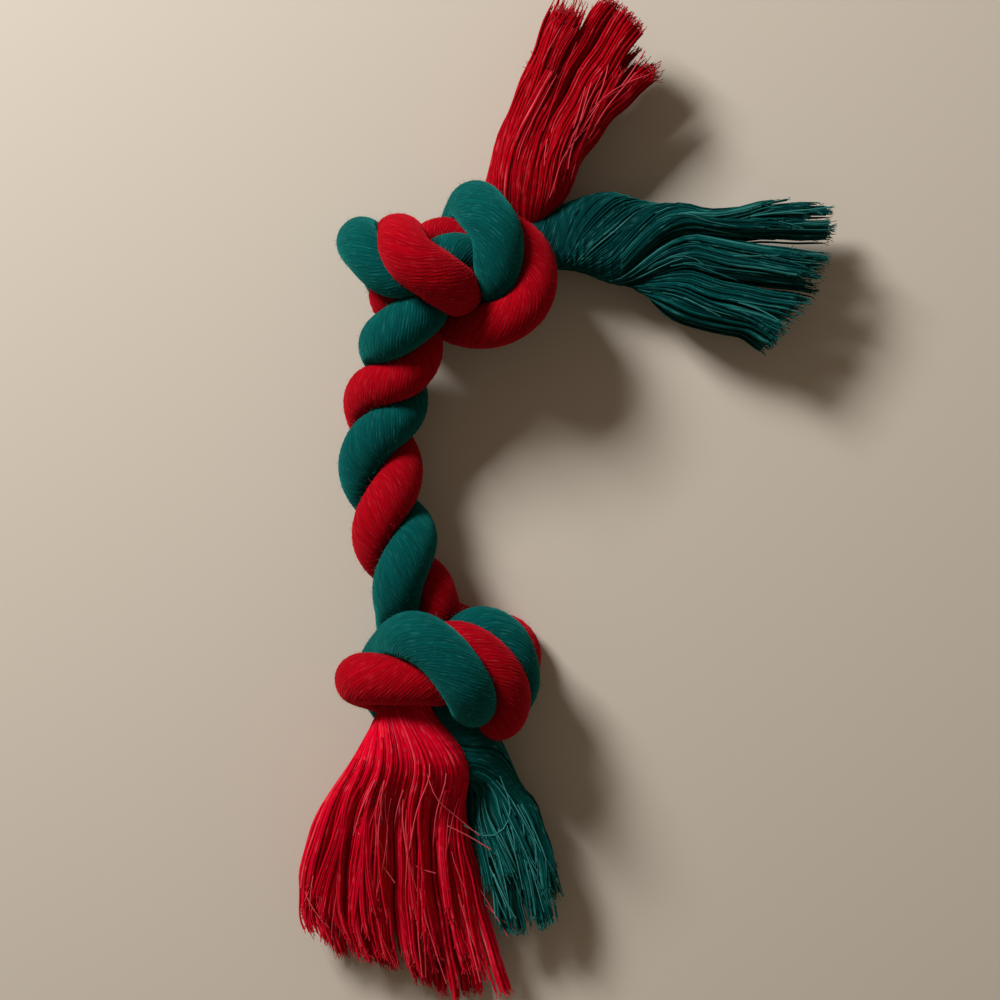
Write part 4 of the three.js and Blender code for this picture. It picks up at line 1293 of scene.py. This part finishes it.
def tassel_yarns(sections, plan):
    """The line, the radii, the painted shade and the paleness of everything in one tassel."""
    dice = np.random.default_rng(plan["seed"])
    locks = sections["locks"]
    count = (locks, plan["tufts"])
    tufts = {
        "place": dice.uniform(-TUFT_PLACE, TUFT_PLACE, (*count, 2)),
        "sway": dice.normal(0, plan["sway"], (*count, 2)),
        "cut": dice.uniform(-1, 1, count),
        "shade": dice.uniform(0, TUFT_PAINTED_SHADE, count),
    }
    made = []
    for i in range(plan["yarns"]):
        across = 2 * (i * GOLDEN_SHARE % 1) - 1
        depth = SHELL_SHARE + (1 - SHELL_SHARE) * math.sqrt(dice.uniform(0, 1))
        upper = 1 if dice.uniform(0, 1) < TOP_SHARE else -1
        high = upper * depth * math.sqrt(1 - across * across)
        lock, across, high = yarn_place(across * WIDTH_SHARE, high, locks)
        nearest = np.argmin(np.hypot(*(tufts["place"][lock] - (across, high)).T))
        tuft = {key: values[lock, nearest] for key, values in tufts.items()}
        made.append(yarn_line(sections, plan, dice, (lock, across, high), tuft))
        made += cut_fibres(dice, made[-1])
    made += [core_line(sections, plan, lock, at) for lock in range(locks) for at in CORE_PLACES]
    for _ in range(plan["over"]):
        made += tuft_over(sections, plan, dice)
    made += [stray_line(sections, plan, dice) for _ in range(plan["strays"])]
    for shares in plan["threads"]:
        line = evenly(placed(shares), YARN_STEP)
        made.append((line, np.full(len(line), STRAY_RADIUS), 0.0, STRAY_PALENESS))
    return made


USUAL_TASSEL = {
    "threads": [], "gap": 0.0, "gap_from": 0.5, "pitch": 0.03, "untwist": 0.005, "crimp": 0.0001,
    "crimp_length": 0.009, "drift": 0.0004, "sway": 0.0009, "ragged": 0.09, "gather": 0.3,
    "gather_from": 0.35,
}
TASSEL_PLANS = {
    "red_upper": {
        "rows": UPPER_RED_TASSEL_SHARES, "seed": 11, "radius": 0.00021,
        "yarns": 460, "tufts": 8, "over": 4, "strays": 18,
        "gap": 0.14, "gap_from": 0.1, "crimp": 0.00018,
    },
    "green_upper": {
        "rows": UPPER_GREEN_TASSEL_SHARES, "seed": 12, "radius": 0.0002,
        "yarns": 480, "tufts": 7, "over": 6, "strays": 36,
        "gap": 0.2, "gap_from": 0.6, "pitch": 0.022, "untwist": 0.014,
        "sway": 0.0007, "gather": 0.25, "gather_from": 0.4,
    },
    "red_lower": {
        "rows": LOWER_RED_TASSEL_SHARES, "seed": 13, "radius": 0.00021,
        "yarns": 640, "tufts": 8, "over": 18, "strays": 36, "threads": LOWER_RED_THREAD_SHARES,
        "untwist": 0.004, "crimp_length": 0.01, "sway": 0.0015, "ragged": 0.16,
    },
    "green_lower": {
        "rows": LOWER_GREEN_TASSEL_SHARES, "seed": 14, "radius": 0.00019,
        "yarns": 300, "tufts": 6, "over": 9, "strays": 44, "threads": LOWER_GREEN_THREAD_SHARES,
        "crimp": 0.0002, "crimp_length": 0.008, "drift": 0.0005, "ragged": 0.12,
        "gather": 0.25, "gather_from": 0.3,
    },
}

# %% [markdown]
# ## Tubes round the lines
# A second small tree puts a tube round every line of a tassel, as thick as the line says it is at
# each point. The numbers that the finish reads ride along on the same points.

# %% The tree that makes tubes of lines
def unit_ring(tree, sides):
    """A ring of radius 1, which a tube's thickness scales."""
    ring = add(tree, "GeometryNodeCurvePrimitiveCircle", links={"Resolution": sides, "Radius": 1.0})
    return ring.outputs[0]


def tube_tree():
    """Makes a closed tube round every line, as thick as the line says."""
    tree = new_tree("Loose yarns", [("Sides", "Int"), ("Material", "Material")])
    put_in = tree.nodes.new("NodeGroupInput").outputs
    lines = add(tree, "GeometryNodeMeshToCurve", links={"Mesh": put_in["Geometry"]})
    ring = unit_ring(tree, put_in["Sides"])
    tubes = add(tree, "GeometryNodeCurveToMesh", links={
        "Curve": lines.outputs[0],
        "Profile Curve": ring,
        "Scale": stored(tree, "thickness"),
        "Fill Caps": True,
    })
    smooth = add(tree, "GeometryNodeSetShadeSmooth", links={"Geometry": tubes.outputs[0]})
    return finish_tree(tree, smooth.outputs[0], put_in["Material"])


def line_mesh(name, yarns):
    """A mesh of bare lines, with the numbers that the tube tree and the material read."""
    lines = [yarn[0] for yarn in yarns]
    counts = [len(line) for line in lines]
    points, radii = np.concatenate(lines), np.concatenate([yarn[1] for yarn in yarns])
    points[:, 2] = np.maximum(points[:, 2], radii)
    edges = []
    for start, count in zip(np.cumsum([0] + counts), counts):
        edges += [(k, k + 1) for k in range(start, start + count - 1)]
    mesh = bpy.data.meshes.new(name)
    mesh.from_pydata(points.tolist(), edges, [])
    store(mesh, "thickness", radii)
    store(mesh, "yarn", np.repeat(np.arange(len(yarns), dtype=float), counts))
    store(mesh, "run", np.concatenate([lengths_along(line) / MAP_UNIT for line in lines]))
    # The depth number is the painted shade between yarns.
    store(mesh, "depth", np.repeat([yarn[2] for yarn in yarns], counts))
    store(mesh, "pale", np.repeat([yarn[3] for yarn in yarns], counts))
    return mesh


# %% Make the tassels
YARN_SIDES = 4

tubes = tube_tree()
tassel_pieces = {}
tassel_frames = {}
for name, own in TASSEL_PLANS.items():
    plan = {**USUAL_TASSEL, **own}
    strand, place = name.split("_")
    sections = tassel_sections(strand, place == "upper", plan["rows"])
    lines = line_mesh(f"{name}_lines", tassel_yarns(sections, plan))
    made = made_by(tubes, lines, f"{name}_yarns", {
        "Sides": YARN_SIDES,
        "Material": tassel_finish[name],
    })
    tassel_pieces[name] = link_piece(f"{name}_yarns", outwards(made))
    tassel_frames[name] = sections
    print(f"{name} tassel: {plan['yarns']} yarns, {len(made.polygons)} faces")

# %% [markdown]
# ## The tassels in place
# Each tassel's place is baked into its mesh, and the CAD parts of its root and its locks are hidden.
# Its yarns start inside the knot.

for name, piece in tassel_pieces.items():
    strand, place = name.split("_")
    sections = tassel_frames[name]
    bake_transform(piece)
    parts = ["root"] + [f"lock_{i + 1}" for i in range(sections["locks"])]
    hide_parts(*[f"{strand}_tassel_{place}_{part}" for part in parts])

# %% [markdown]
# ## Fuzz
# Soft cotton has short fibres that stand off it everywhere and blur its outline. A tree spreads
# them over each strand, each one a thin bent tube with three sides, turned and scaled at random.

# %% The tree for the fuzz
FUZZ_STEPS = 2
FUZZ_SIDES = 3
FUZZ_SHORTEST = 0.5
FUZZ_LONGEST = 1.4
BOW_MIDDLE_SHARE = 0.6
BOW_SIDE_SHARE = 0.5
BOW_TOP_SHARE = 0.8
FUZZ_TAPER_SHARE = 0.7


def fuzz_tree():
    """Spreads short bent fibres over a surface."""
    tree = new_tree("Cotton fuzz", [
        ("Fibres Per Area", "Float"),
        ("Fibre Length", "Float"),
        ("Fibre Radius", "Float"),
        ("Lean", "Float"),
        ("Seed", "Int"),
        ("Material", "Material"),
    ])
    put_in = tree.nodes.new("NodeGroupInput").outputs
    spread = add(tree, "GeometryNodeDistributePointsOnFaces", links={
        "Mesh": put_in["Geometry"],
        "Density": put_in["Fibres Per Area"],
        "Seed": put_in["Seed"],
    })
    length = put_in["Fibre Length"]
    middle = add(tree, "ShaderNodeCombineXYZ", links={"Z": times(tree, length, BOW_MIDDLE_SHARE)})
    end = add(tree, "ShaderNodeCombineXYZ", links={
        "X": times(tree, length, BOW_SIDE_SHARE),
        "Z": times(tree, length, BOW_TOP_SHARE),
    })
    bow = add(tree, "GeometryNodeCurveQuadraticBezier", links={
        "Resolution": FUZZ_STEPS,
        "Start": (0.0, 0.0, 0.0),
        "Middle": middle.outputs[0],
        "End": end.outputs[0],
    })
    at = tree.nodes.new("GeometryNodeSplineParameter").outputs["Factor"]
    marked = add(tree, "GeometryNodeStoreNamedAttribute", {"data_type": "FLOAT", "domain": "POINT"}, {
        "Geometry": bow.outputs[0],
        "Name": "run",
        "Value": at,
    })
    ring = unit_ring(tree, FUZZ_SIDES)
    thin = times(tree, put_in["Fibre Radius"], minus(tree, 1.0, times(tree, at, FUZZ_TAPER_SHARE)))
    fibre = add(tree, "GeometryNodeCurveToMesh", links={
        "Curve": marked.outputs[0],
        "Profile Curve": ring,
        "Scale": thin,
        "Fill Caps": True,
    })
    lean = put_in["Lean"]
    turned = add(tree, "FunctionNodeRandomValue", {"data_type": "FLOAT_VECTOR"}, {"Seed": put_in["Seed"]})
    least = add(tree, "ShaderNodeCombineXYZ", links={
        "X": times(tree, lean, -1.0),
        "Y": times(tree, lean, -1.0),
        "Z": 0.0,
    })
    most = add(tree, "ShaderNodeCombineXYZ", links={"X": lean, "Y": lean, "Z": 2 * math.pi})
    tree.links.new(least.outputs[0], turned.inputs[0])
    tree.links.new(most.outputs[0], turned.inputs[1])
    as_turn = add(tree, "FunctionNodeEulerToRotation", links={"Euler": turned.outputs[0]})
    facing = add(tree, "FunctionNodeRotateRotation", {"rotation_space": "LOCAL"}, {
        "Rotation": spread.outputs["Rotation"],
        "Rotate By": as_turn.outputs[0],
    })
    next_seed = plus(tree, put_in["Seed"], 1.0)
    size = add(tree, "FunctionNodeRandomValue", {"data_type": "FLOAT"}, {"Seed": next_seed})
    size.inputs[2].default_value = FUZZ_SHORTEST
    size.inputs[3].default_value = FUZZ_LONGEST
    standing = add(tree, "GeometryNodeInstanceOnPoints", links={
        "Points": spread.outputs["Points"],
        "Instance": fibre.outputs[0],
        "Rotation": facing.outputs[0],
        "Scale": size.outputs[1],
    })
    counted = add(tree, "GeometryNodeStoreNamedAttribute", {"data_type": "FLOAT", "domain": "INSTANCE"}, {
        "Geometry": standing.outputs[0],
        "Name": "yarn",
        "Value": tree.nodes.new("GeometryNodeInputIndex").outputs[0],
    })
    return finish_tree(tree, counted.outputs[0], put_in["Material"])


# %% Grow the fuzz
FUZZ_DENSITY = 1100000.0
FUZZ_LENGTH = 0.0007
FUZZ_RADIUS = 0.000014
FUZZ_LEAN = 1.35
FUZZ_SEEDS = {"red": 5, "green": 6}

fuzz = fuzz_tree()
fuzz_pieces = {}
for name, piece in strand_pieces.items():
    made = made_by(fuzz, piece.data, f"{name}_fuzz", {
        "Fibres Per Area": FUZZ_DENSITY,
        "Fibre Length": FUZZ_LENGTH,
        "Fibre Radius": FUZZ_RADIUS,
        "Lean": FUZZ_LEAN,
        "Seed": FUZZ_SEEDS[name],
        "Material": fuzz_finish[name],
    })
    fuzz_pieces[name] = link_piece(f"{name}_fuzz", outwards(made))
    bend_with_rope(fuzz_pieces[name])
    print(f"{name} fuzz: {len(made.polygons)} faces")

# %% [markdown]

# %% [markdown]
# ## Floor and light
# A plain pale floor and one large soft lamp at the upper left give the picture's soft shadows to
# the lower right. The world's light fills them.

# %% Floor, lamp and world
FLOOR_HALF = 1.5
FLOOR_COLOUR = colour(190, 180, 166)
FLOOR_ROUGHNESS = 0.92
LAMP_FROM_MIDDLE = (-0.325, 0.378, 0.335)
LAMP_SIZE = 0.17
LAMP_POWER = 5.0
FILL_STRENGTH = 0.29
ROOM_COLOUR = colour(210, 192, 170)


def plain_floor():
    """A large flat floor at the height that the toy lies on."""
    corners = ((-1, -1), (1, -1), (1, 1), (-1, 1))
    mesh = bpy.data.meshes.new("floor")
    mesh.from_pydata([(x * FLOOR_HALF, y * FLOOR_HALF, 0.0) for x, y in corners], [], [(0, 1, 2, 3)])
    material = bpy.data.materials.new("pale_floor")
    material.use_nodes = True
    shader = material.node_tree.nodes["Principled BSDF"]
    shader.inputs["Base Color"].default_value = FLOOR_COLOUR
    shader.inputs["Roughness"].default_value = FLOOR_ROUGHNESS
    mesh.materials.append(material)
    return link_piece("floor", mesh)


floor = plain_floor()
lamp_data = bpy.data.lights.new("window_lamp", "AREA")
lamp_data.size = LAMP_SIZE
lamp_data.energy = LAMP_POWER
lamp = bpy.data.objects.new("window_lamp", lamp_data)
middle_of_toy = (Vector(cad_low) + Vector(cad_high)) / 2
lamp.location = middle_of_toy + Vector(LAMP_FROM_MIDDLE)
lamp.rotation_euler = (middle_of_toy - lamp.location).to_track_quat("-Z", "Y").to_euler()
bpy.context.scene.collection.objects.link(lamp)
print("lamp at", [round(v, 3) for v in lamp.location])


def room():
    """Weak even light on everything, and a pale room wherever a ray sees past the floor."""
    world = bpy.data.worlds.new("pale_room")
    world.use_nodes = True
    tree = world.node_tree
    fill = tree.nodes["Background"]
    fill.inputs["Color"].default_value = ROOM_COLOUR
    fill.inputs["Strength"].default_value = FILL_STRENGTH
    seen = add(tree, "ShaderNodeBackground", links={"Color": ROOM_COLOUR, "Strength": 1.0})
    ray = tree.nodes.new("ShaderNodeLightPath")
    plain = maths(tree, "MAXIMUM", ray.outputs["Is Camera Ray"], ray.outputs["Is Glossy Ray"])
    plain = maths(tree, "MAXIMUM", plain, ray.outputs["Is Transmission Ray"])
    both = tree.nodes.new("ShaderNodeMixShader")
    tree.links.new(plain, both.inputs[0])
    tree.links.new(fill.outputs[0], both.inputs[1])
    tree.links.new(seen.outputs[0], both.inputs[2])
    tree.links.new(both.outputs[0], tree.nodes["World Output"].inputs["Surface"])
    return world


bpy.context.scene.world = room()
bpy.context.scene.view_settings.view_transform = "Standard"
